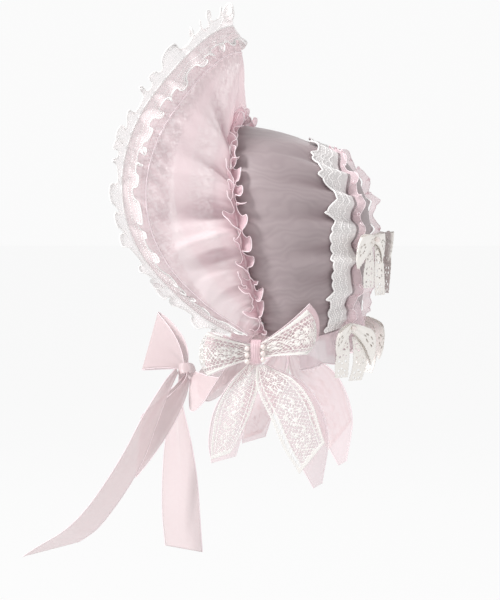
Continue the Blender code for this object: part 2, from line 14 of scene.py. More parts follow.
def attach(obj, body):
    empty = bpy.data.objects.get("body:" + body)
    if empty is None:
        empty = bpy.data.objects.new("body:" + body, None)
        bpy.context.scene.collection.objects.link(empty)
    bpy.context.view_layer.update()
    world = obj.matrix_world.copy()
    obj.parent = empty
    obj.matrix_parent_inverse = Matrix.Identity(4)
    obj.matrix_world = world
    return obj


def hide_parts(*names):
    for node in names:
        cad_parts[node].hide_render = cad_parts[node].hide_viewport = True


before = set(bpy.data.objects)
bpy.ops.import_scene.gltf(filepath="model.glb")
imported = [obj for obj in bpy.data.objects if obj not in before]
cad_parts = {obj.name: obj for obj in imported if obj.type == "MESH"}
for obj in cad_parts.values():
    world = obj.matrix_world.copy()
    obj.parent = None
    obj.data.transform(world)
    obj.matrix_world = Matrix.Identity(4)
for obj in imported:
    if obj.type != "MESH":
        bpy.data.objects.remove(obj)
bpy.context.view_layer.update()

# The camera stands at the left side, 10 degrees behind square to it and slightly raised. One
# pixel of the 500 x 600 picture is 1.05 mm at the near side of the crown.
MM = 0.001
AZIMUTH, ELEVATION, DISTANCE = radians(100), radians(3), 2.4
PIXEL = 1.05 * MM
PICTURE = (500, 600)
ORIGIN_PIXEL = (283, 134)
SENSOR = 36.0

back = Vector((sin(AZIMUTH) * cos(ELEVATION), -cos(AZIMUTH) * cos(ELEVATION), sin(ELEVATION)))
right = Vector((cos(AZIMUTH), sin(AZIMUTH), 0))
up = back.cross(right)
pixels_right, pixels_down = (PICTURE[axis] / 2 - ORIGIN_PIXEL[axis] for axis in (0, 1))
aim = right * pixels_right * PIXEL - up * pixels_down * PIXEL
bpy.ops.object.camera_add(location=aim + back * DISTANCE)
camera = bpy.context.object
camera.rotation_euler = Matrix((right, up, back)).transposed().to_euler()
camera.data.sensor_width = SENSOR
camera.data.lens = SENSOR * DISTANCE / (PICTURE[1] * PIXEL)
camera.data.clip_start, camera.data.clip_end = 0.1, 20
bpy.context.scene.camera = camera

# A pale floor lies under the bonnet in a plain pale room. A broad lamp above the open front
# shapes the folds, and two weaker ones keep the back and the far side light. Light passes up to
# CLOTH_LAYERS layers of sheer cloth.
FLOOR, FLOOR_SIZE = -0.62, 60
ROOM, ROOM_LIGHT, FLOOR_PAPER, FLOOR_GLOW = 0.96, 0.55, 0.05, 0.915
LAMPS_LOOK_AT = Vector((0, -0.05, -0.12))
CLOTH_LAYERS = 32
LAMPS = [
    # where it stands (x, y, z), its size, its power in watts
    ((0.9, -1.7, 1.7), 0.5, 62),
    ((1.5, 1.5, 0.5), 1.2, 6),
    ((-1.7, -0.4, 1.0), 1.4, 8),
]


def grey(level):
    """A grey as the linear value that a shader takes."""
    return (level, level, level, 1)


def add_node(tree, kind, inputs=None, **settings):
    """A shader node with its own settings and the values of its inputs."""
    made = tree.nodes.new("ShaderNode" + kind)
    for setting, value in settings.items():
        setattr(made, setting, value)
    set_inputs(made, inputs or {})
    return made


def set_inputs(node, values):
    """Sets the inputs of a shader node by name or number."""
    for socket, value in values.items():
        node.inputs[socket].default_value = value


def link(tree, source, output, target, socket):
    """Joins an output of one shader node to an input of another."""
    tree.links.new(source.outputs[output], target.inputs[socket])


bpy.ops.mesh.primitive_plane_add(size=FLOOR_SIZE, location=(0, 0, FLOOR))
floor = bpy.context.object
floor.name = "floor"
paper = bpy.data.materials.new("pale_paper")
paper.use_nodes = True
set_inputs(paper.node_tree.nodes["Principled BSDF"], {
    "Base Color": grey(FLOOR_PAPER),
    "Roughness": 0.9,
    "Specular IOR Level": 0,
    "Emission Color": grey(1.0),
    "Emission Strength": FLOOR_GLOW,
})
floor.data.materials.append(paper)
for spot, size, power in LAMPS:
    bpy.ops.object.light_add(type="AREA", location=spot)
    lamp = bpy.context.object
    lamp.data.size = size
    lamp.data.energy = power
    lamp.rotation_euler = (Vector(spot) - LAMPS_LOOK_AT).to_track_quat("Z", "Y").to_euler()
world = bpy.data.worlds.new("soft_room")
bpy.context.scene.world = world
world.use_nodes = True
room = world.node_tree
room_light = room.nodes["Background"]
set_inputs(room_light, {"Color": grey(1.0), "Strength": ROOM_LIGHT})
room_wall = add_node(room, "Background", {"Color": grey(ROOM)})
seen = add_node(room, "LightPath")
wall_or_light = add_node(room, "MixShader")
link(room, seen, "Is Camera Ray", wall_or_light, 0)
link(room, room_light, 0, wall_or_light, 1)
link(room, room_wall, 0, wall_or_light, 2)
link(room, wall_or_light, 0, room.nodes["World Output"], "Surface")
bpy.context.scene.view_settings.view_transform = "Standard"
bpy.context.scene.cycles.transparent_max_bounces = CLOTH_LAYERS

# The crown is a cap of sheer organza, gathered along the front seam and into a ring at the back,
# with a flatter panel inside the ring. Its cloth is mauve grey, with painted shade in its fold valleys and
# along the front seam.
# Each row of STATIONS is a place from the middle of the top (row 0) down to the left jaw corner.
STATIONS = [
    # front (x, y, z)   full (x, y, z)     ring (x, y, z)     nape (y, z)  edge (x, y, z)      bulge
    ((0, -56, 10), (0, 0, 1.5), (0, 47, -17), (47, -17), (0, -54, 113), 14),
    ((34, -51, 1), (37, 2, -6), (24, 60, -26), (64, -27), (36, -65, 106), 9),
    ((58, -45, -19), (65, 8, -22), (40, 70, -42), (75, -42), (67, -84, 85), 5),
    ((73, -41, -43), (80, 14, -44), (49, 76, -58), (82.5, -57), (92, -106, 55), 7),
    ((81, -37, -69), (88, 20, -67), (55, 81, -75), (87.5, -72), (110, -126, 22), 10),
    ((85, -32, -97), (91.5, 25, -92), (58, 83, -93), (90, -88), (121, -139, -13), 12),
    ((86, -26, -124), (93, 29, -117), (59, 83.5, -111), (91, -104), (126, -144, -51), 12),
    ((86, -20, -148), (93, 31, -140), (58.5, 83, -130), (90.5, -120), (127, -139, -90), 11),
    ((86, -14, -168), (92, 32, -162), (57.5, 80.5, -150), (89, -135), (124, -123, -126), 10),
    ((85.5, -10, -184), (91, 32, -181), (56, 77, -169), (87, -149), (117, -95, -160), 8),
    ((84.5, -7, -197), (89.5, 32, -197), (54.5, 73, -187), (84, -162), (108, -63, -188), 5),
    ((83.5, -5, -207), (88, 31, -209), (52.5, 68, -203), (80.5, -174), (99, -38, -203), 2),
]
LAST = len(STATIONS) - 1
CROWN_FOLDS = [
    # station, height, half width
    (0.9, 4.0, 0.42),
    (2.4, 5.0, 0.42),
    (3.9, 5.5, 0.42),
    (5.4, 6.0, 0.42),
    (6.9, 5.5, 0.42),
    (8.4, 4.5, 0.42),
    (9.9, 3.5, 0.42),
]
SHEER = 0.35
CROWN_CUT = (540, 150)


def smooth_line(points, t):
    """The Catmull-Rom curve through points, at each t from 0 to len(points) - 1."""
    points = np.vstack([2 * points[0] - points[1], points, 2 * points[-1] - points[-2]])
    i = np.clip(np.floor(t).astype(int), 0, len(points) - 4)
    s = (t - i)[..., None]
    a, b, c, d = (points[i + k] for k in range(4))
    return 0.5 * (
        2 * b + (c - a) * s + (2 * a - 5 * b + 4 * c - d) * s**2 + (3 * b - a - 3 * c + d) * s**3
    )


def both_sides(column):
    """One column of STATIONS as points from the right jaw corner over the top to the left one."""
    left = [row[column] if len(row[column]) == 3 else (0, *row[column]) for row in STATIONS]
    return np.array([(-x, y, z) for x, y, z in left[:0:-1]] + left, float)


FRONT, FULL, RING, NAPE, EDGE = (both_sides(column) for column in range(5))


def unit(direction):
    """The direction with a length of one."""
    return direction / np.linalg.norm(direction, axis=-1, keepdims=True)


def facing(surface, a, b):
    """The unit direction square to surface(a, b)."""
    step = 0.01
    along = surface(a + step, b) - surface(a - step, b)
    return unit(np.cross(along, surface(a, b + step) - surface(a, b - step)))


def fold_wave(distance, half_width):
    """A crest with a shallow valley on each side."""
    q = np.abs(distance / half_width)
    return np.exp(-q * q) - 0.45 * np.exp(-((q - 1.7) ** 2))


def gathers(t, pace):
    """Fine uneven gathers along a seam, about one to each share pace of a station."""
    drift = 1.3 * np.sin(0.9 * t + 0.4) + 0.8 * np.sin(2.3 * t)
    broad = np.sin(2 * pi * t / pace + drift)
    return 0.6 * broad + 0.4 * np.sin(2 * pi * t / (0.61 * pace) - 1.7 * drift)


def crown_plain(t, v):
    """The crown with no folds: v 0 at the front seam, 1 at the back ring, 2 at the back's middle."""
    front, full, ring, nape = (smooth_line(line, t + LAST) for line in (FRONT, FULL, RING, NAPE))
    w = v[..., None]
    cap = front * (2 * (w - 0.5) * (w - 1)) + full * (4 * w * (1 - w)) + ring * (2 * w * (w - 0.5))
    share = np.clip(w - 1, 0, 1)
    panel = ring + (nape - ring) * np.sin(share * pi / 2)
    panel[..., :1] = ring[..., :1] * (1 - share)
    return np.where(w <= 1, cap, panel)


def crown_normal(t, v):
    """The direction out of the crown."""
    return facing(crown_plain, t, np.clip(v, 0.02, 0.98))


def crown_lift(t, v):
    """How far the crown's folds and the fine gathers at both seams stand out."""
    lift = sum(high * fold_wave(np.abs(t) - at, half) for at, high, half in CROWN_FOLDS)
    lift = lift * np.clip(1 - np.abs(v - 1) / 0.75, 0, 1) ** 2
    lift = lift + 2.2 * gathers(t, 1.1) * np.exp(-np.abs(v - 1) / 0.2)
    return lift + 1.5 * gathers(t + 3, 0.8) * np.exp(-v / 0.16)


def crown(t, v):
    """The outside of the crown."""
    return crown_plain(t, v) + crown_normal(t, v) * crown_lift(t, v)[..., None]


def crown_painted_shade(t, v):
    """Painted shade in the valleys between the folds by the ring, and in a narrow band along the front
    seam.
    """
    return 0.9 * np.clip(-crown_lift(t, v) / 3.5, 0, 1) + 0.35 * np.exp(-v / 0.05)


# The point attribute that holds painted shade, and on the brim also the doubled hem.
PAINTED_SHADE_AND_HEM = "painted_shade_and_hem"


def lay_sheet(name, columns, rows, surface, cut, painted_shade_and_hem=None):
    """A flat grid laid on surface(a, b), a and b from 0 to 1; its UV map is in metres of the cut.

    Its last argument: how much painted shade, and on the brim also a doubled hem, darkens the cloth at (a,
    b), from 0 to 1.
    """
    bpy.ops.object.select_all(action="DESELECT")
    bpy.ops.mesh.primitive_grid_add(x_subdivisions=columns, y_subdivisions=rows, size=2)
    made = bpy.context.object
    made.name = made.data.name = name
    flat = np.empty(len(made.data.vertices) * 3)
    made.data.vertices.foreach_get("co", flat)
    flat = (flat.reshape(-1, 3) + 1) / 2
    made.data.vertices.foreach_set("co", (surface(flat[:, 0], flat[:, 1]) * MM).ravel())
    # The painted shade, and on the brim the doubled hem, is stored per point.
    if painted_shade_and_hem:
        depth = made.data.attributes.new(PAINTED_SHADE_AND_HEM, "FLOAT", "POINT")
        depth.data.foreach_set("value", np.clip(painted_shade_and_hem(flat[:, 0], flat[:, 1]), 0, 1))
    corner = np.empty(len(made.data.loops) * 2)
    made.data.uv_layers.active.data.foreach_get("uv", corner)
    corner = corner.reshape(-1, 2) * np.array(cut) * MM
    made.data.uv_layers.active.data.foreach_set("uv", corner.ravel())
    return made


def merge_points(made):
    """Joins the two ends of a ring of cloth, or the points along a seam."""
    bpy.ops.object.mode_set(mode="EDIT")
    bpy.ops.mesh.select_all(action="SELECT")
    bpy.ops.mesh.remove_doubles(threshold=1e-5)
    bpy.ops.object.mode_set(mode="OBJECT")


def give_wall(made, thickness, offset=0.0):
    """Gives a sheet its thickness, in millimetres: half to each side, or all inside with offset -1."""
    wall = made.modifiers.new("wall", "SOLIDIFY")
    wall.thickness = thickness * MM
    wall.offset = offset
    bpy.context.view_layer.objects.active = made
    bpy.ops.object.modifier_apply(modifier="wall")
    made.data.shade_smooth()


def paint(red, green, blue):
    """A colour written as it looks on screen, 0 to 255, as the linear value that a shader takes."""
    share = [c / 255 for c in (red, green, blue)]
    return (*[c / 12.92 if c <= 0.04045 else ((c + 0.055) / 1.055) ** 2.4 for c in share], 1)


def new_group(name, tones, measures=()):
    """An empty node group that takes tones and measures and gives a colour and a height."""
    group = bpy.data.node_groups.new(name, "ShaderNodeTree")
    for label in tones:
        group.interface.new_socket(label, in_out="INPUT", socket_type="NodeSocketColor")
    for label, value in measures:
        socket = group.interface.new_socket(label, in_out="INPUT", socket_type="NodeSocketFloat")
        socket.default_value = value
    for label, kind in (("Color", "NodeSocketColor"), ("Height", "NodeSocketFloat")):
        group.interface.new_socket(label, in_out="OUTPUT", socket_type=kind)
    return group, group.nodes.new("NodeGroupInput"), group.nodes.new("NodeGroupOutput")


# The third tone is a painted shade colour, laid where the piece's attribute asks for it.
TONES = ("Light tone", "Deep tone", "Painted shade tone")


def organza_weave():
    """Fine crossed threads, with the watered bands and uneven tone of sheer organza.

    Painted shade: an attribute on the piece mixes in a darker shade tone in the valleys of its folds and
    along its seams, and on the brim also for its doubled hem.
    """
    measures = (("Watering", 0.3), ("Thread pace", 0.6))
    group, enter, leave = new_group("organza_weave", TONES, measures)
    uv = add_node(group, "TexCoord")
    weave = add_node(group, "Math", operation="MULTIPLY")
    for socket, direction in enumerate(("X", "Y")):
        wave = add_node(group, "TexWave", {"Scale": 340, "Distortion": 0.4}, bands_direction=direction)
        link(group, uv, "UV", wave, "Vector")
        link(group, wave, "Fac", weave, socket)
    thread_height = add_node(group, "Math", operation="MULTIPLY")
    link(group, weave, 0, thread_height, 0)
    link(group, enter, "Thread pace", thread_height, 1)
    link(group, thread_height, 0, leave, "Height")
    water = add_node(group, "TexWave", {"Scale": 38, "Distortion": 22, "Detail": 2, "Detail Scale": 0.9})
    link(group, uv, "UV", water, "Vector")
    cloud = add_node(group, "TexNoise", {"Scale": 13, "Detail": 3})
    link(group, uv, "Object", cloud, "Vector")
    mixed = add_node(group, "Mix")
    link(group, enter, "Watering", mixed, 0)
    link(group, cloud, "Fac", mixed, 2)
    link(group, water, "Fac", mixed, 3)
    tone = add_node(group, "Mix", data_type="RGBA")
    link(group, mixed, 0, tone, 0)
    link(group, enter, "Light tone", tone, 6)
    link(group, enter, "Deep tone", tone, 7)
    # Painted shade: the attribute pulls the colour towards the shade tone.
    painted_shade_mask = add_node(group, "Attribute", attribute_name=PAINTED_SHADE_AND_HEM)
    with_painted_shade = add_node(group, "Mix", data_type="RGBA")
    link(group, painted_shade_mask, "Fac", with_painted_shade, 0)
    link(group, tone, 2, with_painted_shade, 6)
    link(group, enter, "Painted shade tone", with_painted_shade, 7)
    link(group, with_painted_shade, 2, leave, "Color")
    return group


ORGANZA = organza_weave()


def cloth_material(name, group, tones, alpha, roughness, sheen=0.3, bump=0.12, **measures):
    """A cloth with a group's colour and height; its sheerness is the shader's own alpha."""
    made = bpy.data.materials.new(name)
    made.use_nodes = True
    tree = made.node_tree
    shader = tree.nodes["Principled BSDF"]
    weave = add_node(tree, "Group", node_tree=group)
    set_inputs(weave, {label: paint(*tone) for label, tone in zip(TONES, tones)})
    set_inputs(weave, {label.capitalize(): value for label, value in measures.items()})
    bumps = add_node(tree, "Bump", {"Strength": bump, "Distance": 0.3 * MM})
    link(tree, weave, "Height", bumps, "Height")
    link(tree, bumps, "Normal", shader, "Normal")
    link(tree, weave, "Color", shader, "Base Color")
    set_inputs(shader, {
        "Roughness": roughness,
        "Alpha": alpha,
        "Sheen Weight": sheen,
        "Sheen Roughness": 0.4,
        "Specular IOR Level": 0.3,
    })
    return made


# The third tone is the crown's painted shade.
CROWN_ORGANZA = cloth_material(
    "crown_organza", ORGANZA, ((180, 165, 167), (163, 148, 151), (138, 118, 122)), 0.93, 0.5, watering=0.3
)


def finish_piece(made, material, slot, nodes, cut=None):
    """Gives a piece its material, sets it under the root and hides the solids that it stands for.

    cut: not used.
    """
    made.data.materials.append(material)
    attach(made, "root")
    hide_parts(*nodes)


def from_jaw_to_jaw(shape, rows=1):
    """shape(t, v) as shape(a, b), with a from 0 at the right jaw corner to 1 at the left one."""
    return lambda a, b: shape((2 * a - 1) * LAST, rows * b)


crown_cloth = lay_sheet(
    "crown_cloth", 260, 60, from_jaw_to_jaw(crown, 2), CROWN_CUT, from_jaw_to_jaw(crown_painted_shade, 2)
)
merge_points(crown_cloth)
give_wall(crown_cloth, SHEER, offset=-1)
finish_piece(crown_cloth, CROWN_ORGANZA, "crown_organza", ["crown"], CROWN_CUT)

# The brim is one tall flared sheet of pale pink organza. It is gathered into folds where it is
# sewn to the crown, and a wire runs in a casing 27 mm inside its outer edge.
SEAM_GAP = 1.4
BRIM_FOLDS = [
    # station, height, half width, reach
    (0.0, 5.0, 0.45, 0.80),
    (1.1, 8.0, 0.40, 0.80),
    (2.7, 11.0, 0.42, 0.72),
    (3.7, 11.0, 0.34, 0.68),
    (5.2, 18.0, 0.38, 0.76),
    (6.7, 12.0, 0.48, 0.68),
    (7.9, 10.0, 0.45, 0.68),
    (9.0, 6.0, 0.42, 0.66),
]
# From SWEEP_FROM on, each next fold turns down towards the jaw on its way to the edge, by
# SWEEP_RATE stations more for each station, until SWEEP_TO.
SWEEP_FROM, SWEEP_TO, SWEEP_RATE = 2.0, 5.0, 1.1
BULGE = np.array([(row[5], 0, 0) for row in STATIONS], float)
BRIM_CUT = (620, 120)
CASING_INSIDE = 27
# The third tone is the brim's painted shade; it also tints the doubled hem a little.
BRIM_ORGANZA = cloth_material(
    "brim_organza", ORGANZA, ((254, 239, 241), (247, 227, 231), (207, 180, 186)), 0.55, 0.5, watering=0.15
)


def brim_plain(t, s):
    """The brim with no folds: s 0 at the seam, 1 at the outer edge."""
    root = smooth_line(FRONT, t + LAST) + np.array((0, -SEAM_GAP, 0))
    edge = smooth_line(EDGE, t + LAST)
    run = smooth_line(FRONT, t + LAST + 0.05) - smooth_line(FRONT, t + LAST - 0.05)
    behind = unit(np.cross(edge - root, run))
    bulge = smooth_line(BULGE, np.abs(t))[..., :1]
    w = s[..., None]
    return root + (edge - root) * w + behind * bulge * 4 * w * (1 - w)


def brim_normal(t, s):
    """The direction out of the brim's back."""
    return -facing(brim_plain, np.clip(t, 0.02 - LAST, LAST - 0.02), np.clip(s, 0.01, 0.99))


def fold_root(t, s):
    """The station at the seam where the fold that passes (t, s) starts."""
    root = (t + SWEEP_RATE * SWEEP_FROM * s) / (1 + SWEEP_RATE * s)
    root = np.where(root <= SWEEP_TO, root, t - SWEEP_RATE * (SWEEP_TO - SWEEP_FROM) * s)
    return np.where(t <= SWEEP_FROM, t, root)


def brim_lift(t, s):
    """How far the brim's folds and the fine gathers by the seam stand out."""
    root = fold_root(np.abs(t), s)
    lift = np.zeros_like(t)
    for at, high, half, reach in BRIM_FOLDS:
        fade = np.clip(1 - s / reach, 0, 1) * np.minimum(1.0, s / 0.25)
        lift = lift + high * fold_wave(root - at, half * (1 + 0.2 * s)) * fade
    lift = lift + 3.0 * gathers(root, 0.5) * np.exp(-s / 0.26) * np.minimum(1.0, s / 0.1)
    return lift + 1.2 * gathers(root + 5, 1.3) * np.sin(pi * np.clip(s, 0, 1))


def brim(t, s):
    """The middle of the brim's cloth."""
    return brim_plain(t, s) + brim_normal(t, s) * brim_lift(t, s)[..., None]


def brim_hem_and_painted_shade(t, s):
    """Painted shade in the fold valleys, along the seam and in a blotchy patch at mid-height, and the real
    doubled hem past the casing.
    """
    valley = np.clip(-brim_lift(t, s) / 4, 0, 1) * np.clip(1.25 - 1.3 * s, 0, 1)
    hem = 0.08 * (s > casing_place(t))
    shade_patch = np.exp(-(((np.abs(t) - 5.6) / 1.5) ** 2) - ((s - 0.74) / 0.15) ** 2)
    shade_patch = shade_patch * (0.55 + 0.3 * np.sin(7.1 * t + 9 * s) + 0.3 * np.sin(23 * s - 3.3 * t))
    return valley + 0.45 * np.exp(-s / 0.06) + hem + 0.5 * np.clip(shade_patch, 0, 1)


def brim_length(t):
    """How far it is from seam to edge at station t, in millimetres."""
    return np.linalg.norm(smooth_line(EDGE, t + LAST) - smooth_line(FRONT, t + LAST), axis=-1)


def casing_place(t):
    """The share s from seam to edge where the casing lies."""
    return 1 - np.minimum(CASING_INSIDE / brim_length(t), 0.5)


def thread(name, points, radius, sides=6):
    """A thin cord through points, in millimetres, as a tube with closed ends."""
    bpy.ops.object.select_all(action="DESELECT")
    line = bpy.data.curves.new(name, "CURVE")
    line.dimensions = "3D"
    line.bevel_depth = radius * MM
    line.bevel_resolution = sides // 2 - 2
    line.use_fill_caps = True
    spline = line.splines.new("POLY")
    spline.points.add(len(points) - 1)
    spline.points.foreach_set("co", np.hstack([points * MM, np.ones((len(points), 1))]).ravel())
    made = bpy.data.objects.new(name, line)
    bpy.context.scene.collection.objects.link(made)
    made.select_set(True)
    bpy.context.view_layer.objects.active = made
    bpy.ops.object.convert(target="MESH")
    made.data.shade_smooth()
    return made


def join_into(made, *others):
    """Makes several meshes one piece, which keeps the first one's name."""
    bpy.ops.object.select_all(action="DESELECT")
    for other in (made, *others):
        other.select_set(True)
    bpy.context.view_layer.objects.active = made
    bpy.ops.object.join()


brim_cloth = lay_sheet(
    "brim_cloth", 300, 44, from_jaw_to_jaw(brim), BRIM_CUT, from_jaw_to_jaw(brim_hem_and_painted_shade)
)
give_wall(brim_cloth, SHEER)
finish_piece(brim_cloth, BRIM_ORGANZA, "brim_organza", ["brim"], BRIM_CUT)
CASING_RADIUS = 0.6
casing_t = np.linspace(-LAST, LAST, 400)
casing_s = casing_place(casing_t)
casing_line = brim(casing_t, casing_s) + brim_normal(casing_t, casing_s) * CASING_RADIUS

# A pink organza ruffle covers the seam of crown and brim. It is stitched along its middle, and
# both wings stand up in tight loops whose edges are rolled and stretched like a lettuce leaf.
RUFFLE_CUT = (700, 27)
RUFFLE_LOOPS, RUFFLE_WING = 29, 11.5
# The third tone is the ruffle's painted shade.
RUFFLE_ORGANZA = cloth_material(
    "pink_ruffle", ORGANZA, ((253, 230, 235), (246, 214, 222), (232, 192, 202)), 0.5, 0.5, watering=0.1
)
ROLLED_EDGE = cloth_material(
    "rolled_edge", ORGANZA, ((255, 244, 247), (255, 236, 241), (244, 212, 220)), 1.0, 0.5, watering=0.1
)
finish_piece(thread("brim_casing", casing_line, CASING_RADIUS), ROLLED_EDGE, "brim_organza", [])


def even_steps(line, first, last, a):
    """The stations that share a line evenly by its length, at the shares a."""
    t = np.linspace(first, last, 800)
    points = smooth_line(line, t + LAST)
    far = np.concatenate([[0], np.cumsum(np.linalg.norm(np.diff(points, axis=0), axis=1))])
    return np.interp(np.clip(a, 0, 1) * far[-1], far, t)


def uneven(a, waves, slip):
    """The phase of a ruffle's waves, which are neither even nor repeated."""
    drift = np.sin(2 * pi * a * 5.3 + 1) + 0.7 * np.sin(2 * pi * a * 11.7 + 2)
    return 2 * pi * waves * a + slip * drift


def seam_ruffle(a, b):
    """The ruffle's cloth: b 0 at the edge over the brim, 0.5 at the stitching, 1 over the crown."""
    out = np.abs(2 * b - 1)
    side = np.sign(b - 0.5)
    phase = uneven(a, RUFFLE_LOOPS, 1.4) + 1.3 * side
    size = 1 + 0.3 * np.sin(phase * 0.37 + side) + 0.25 * np.sin(phase * 0.83)
    lean = 0.007 * np.sin(phase * 0.29 + 2 * side) * np.sin(phase)
    sway = out**1.3 * (0.0036 * np.sin(2 * phase) + lean)
    t = even_steps(FRONT, 0.25 - LAST, LAST - 0.25, a + sway)
    wing = RUFFLE_WING * out**0.9 * (1 + 0.1 * np.sin(phase * 0.31))
    wing = wing + 5.6 * size * out**1.2 * np.cos(phase)
    rise = 1.2 + out * (7.0 + 4.0 * size * np.sin(phase + 0.4))
    over_brim = brim(t, (0.6 + 1.25 * wing) / brim_length(t)) + brim_normal(t, t * 0) * rise[..., None]
    over_crown = crown(t, (0.6 + wing) / 120) + crown_normal(t, t * 0) * rise[..., None]
    return np.where((b < 0.5)[..., None], over_brim, over_crown)


def ruffle_painted_shade(a, b):
    """Painted shade: the ruffle is darker towards its stitching."""
    return 0.7 * (1 - np.abs(2 * b - 1)) ** 1.5


def edge_line(surface, steps, b):
    """The points of the line across surface at b."""
    a = np.linspace(0, 1, steps)
    return surface(a, np.full(steps, float(b)))


ruffle = lay_sheet(
    "seam_ruffle_cloth", RUFFLE_LOOPS * 24, 10, seam_ruffle, RUFFLE_CUT, ruffle_painted_shade
)
give_wall(ruffle, SHEER)
finish_piece(ruffle, RUFFLE_ORGANZA, "pink_ruffle", ["seam_ruffle"], RUFFLE_CUT)
for word, b in (("brim", 0), ("crown", 1)):
    rolled = thread(f"seam_ruffle_{word}_hem", edge_line(seam_ruffle, RUFFLE_LOOPS * 28, b), 0.45)
    finish_piece(rolled, ROLLED_EDGE, "pink_ruffle", [])

# White net lace is gathered round the brim's edge. Half of it stands out past the edge, and half
# lies back over the cloth. Both borders are worked in thread: a thick hem, a finer cord inside
# it, zigzags between them and rows of satin-stitched dots.
# The dots are laid out on BRIM_LACE_STRIP, which is drawn together to the length of each row, so
# they come about 3 mm apart on the lace.
BRIM_LACE_STRIP = (1900, 37)
NET_CUT, NET_WALL = (880, 35), 0.2
BRIM_LACE_LOOPS = 40
LACE_WALL = 0.4


def cut_lace(made, solid):
    """Takes out the cells where solid(along, across) is false, and rounds the holes.

    Both are in millimetres of the cut.
    """
    corner = np.empty(len(made.data.loops) * 2)
    made.data.uv_layers.active.data.foreach_get("uv", corner)
    centre = corner.reshape(-1, 4, 2).mean(1) / MM
    open_cell = ~solid(centre[:, 0], centre[:, 1])
    bpy.ops.object.select_all(action="DESELECT")
    made.select_set(True)
    bpy.context.view_layer.objects.active = made
    bpy.ops.object.mode_set(mode="EDIT")
    bpy.ops.mesh.select_mode(type="FACE")
    bpy.ops.mesh.select_all(action="DESELECT")
    bpy.ops.object.mode_set(mode="OBJECT")
    made.data.polygons.foreach_set("select", open_cell)
    bpy.ops.object.mode_set(mode="EDIT")
    bpy.ops.mesh.delete(type="FACE")
    bpy.ops.mesh.select_mode(type="VERT")
    bpy.ops.mesh.select_all(action="DESELECT")
    bpy.ops.mesh.select_non_manifold(extend=False)
    bpy.ops.mesh.vertices_smooth(factor=0.5, repeat=2)
    bpy.ops.object.mode_set(mode="OBJECT")


def stud_sheet(surface, cut, spots, name):
    """Small domes of satin stitch on a sheet.

    spots: rows of along, across and size, in millimetres of the cut.
    """
    dome = 0.55
    u, w, size = np.array(spots).T
    a, b = u / cut[0], w / cut[1]
    seat = surface(a, b)
    step = 0.002
    across = unit(surface(a + step, b) - seat)
    normal = unit(np.cross(across, surface(a, b + step * 8) - seat))
    down = np.cross(normal, across)
    bpy.ops.object.select_all(action="DESELECT")
    bpy.ops.mesh.primitive_ico_sphere_add(subdivisions=1, radius=1)
    seed = bpy.context.object
    ball = np.array([corner.co for corner in seed.data.vertices])
    face = np.array([side.vertices[:] for side in seed.data.polygons])
    points = (
        seat[:, None]
        + across[:, None] * (ball[:, 0] * size[:, None])[..., None]
        + down[:, None] * (ball[:, 1] * size[:, None])[..., None]
        + normal[:, None] * (ball[:, 2] * dome * size[:, None])[..., None]
    )
    faces = (face[None] + (np.arange(len(u)) * len(ball))[:, None, None]).reshape(-1, 3)
    seed.data.clear_geometry()
    seed.data.from_pydata((points.reshape(-1, 3) * MM).tolist(), [], faces.tolist())
    seed.data.shade_smooth()
    seed.name = seed.data.name = name
    return seed


def lace_yarn():
    """Twisted cotton yarn: a slightly uneven white with a fine slanted grain."""
    group, enter, leave = new_group("lace_yarn", TONES[:2])
    place = add_node(group, "TexCoord")
    twist = add_node(group, "TexWave", {"Scale": 420, "Distortion": 2}, bands_direction="DIAGONAL")
    link(group, place, "UV", twist, "Vector")
    link(group, twist, "Fac", leave, "Height")
    fluff = add_node(group, "TexNoise", {"Scale": 90, "Detail": 4})
    link(group, place, "Object", fluff, "Vector")
    tone = add_node(group, "Mix", data_type="RGBA")
    link(group, fluff, "Fac", tone, 0)
    link(group, enter, "Light tone", tone, 6)
    link(group, enter, "Deep tone", tone, 7)
    link(group, tone, 2, leave, "Color")
    return group


YARN = lace_yarn()
WHITE_LACE = cloth_material(
    "white_lace", YARN, ((255, 254, 253), (253, 249, 248)), 1.0, 0.8, sheen=0.2, bump=0.15
)


def near_multiple(x, pace):
    """How far x is from the nearest multiple of pace."""
    return np.abs((x / pace + 0.5) % 1 - 0.5) * pace


BRIM_LACE_CORDS = [
    # where it lies across the lace, from the inner hem to the outer one, and its radius
    (0.0, 0.7),
    (0.15, 0.35),
    (0.5, 0.8),
    (0.85, 0.35),
    (1.0, 0.7),
]
# The zigzags lie between two places across the lace, and the rows of dots at one.
BRIM_LACE_ZIGZAGS = [(0.01, 0.14), (0.86, 0.99)]
ZIGZAG_TURNS, ZIGZAG_RADIUS = 1140, 0.28
BRIM_LACE_DOTS = (0.22, 0.34, 0.66, 0.78)
BRIM_DOT_SIZE, BRIM_DOT_PACE = 0.75, 5.6
# How far the lace stands out past the brim at each station; lower down it turns to the crown.
LACE_REACH = np.array([(w, 0, 0) for w in (17, 17, 15, 12, 10, 9, 9, 9, 9, 9, 9, 9)], float)


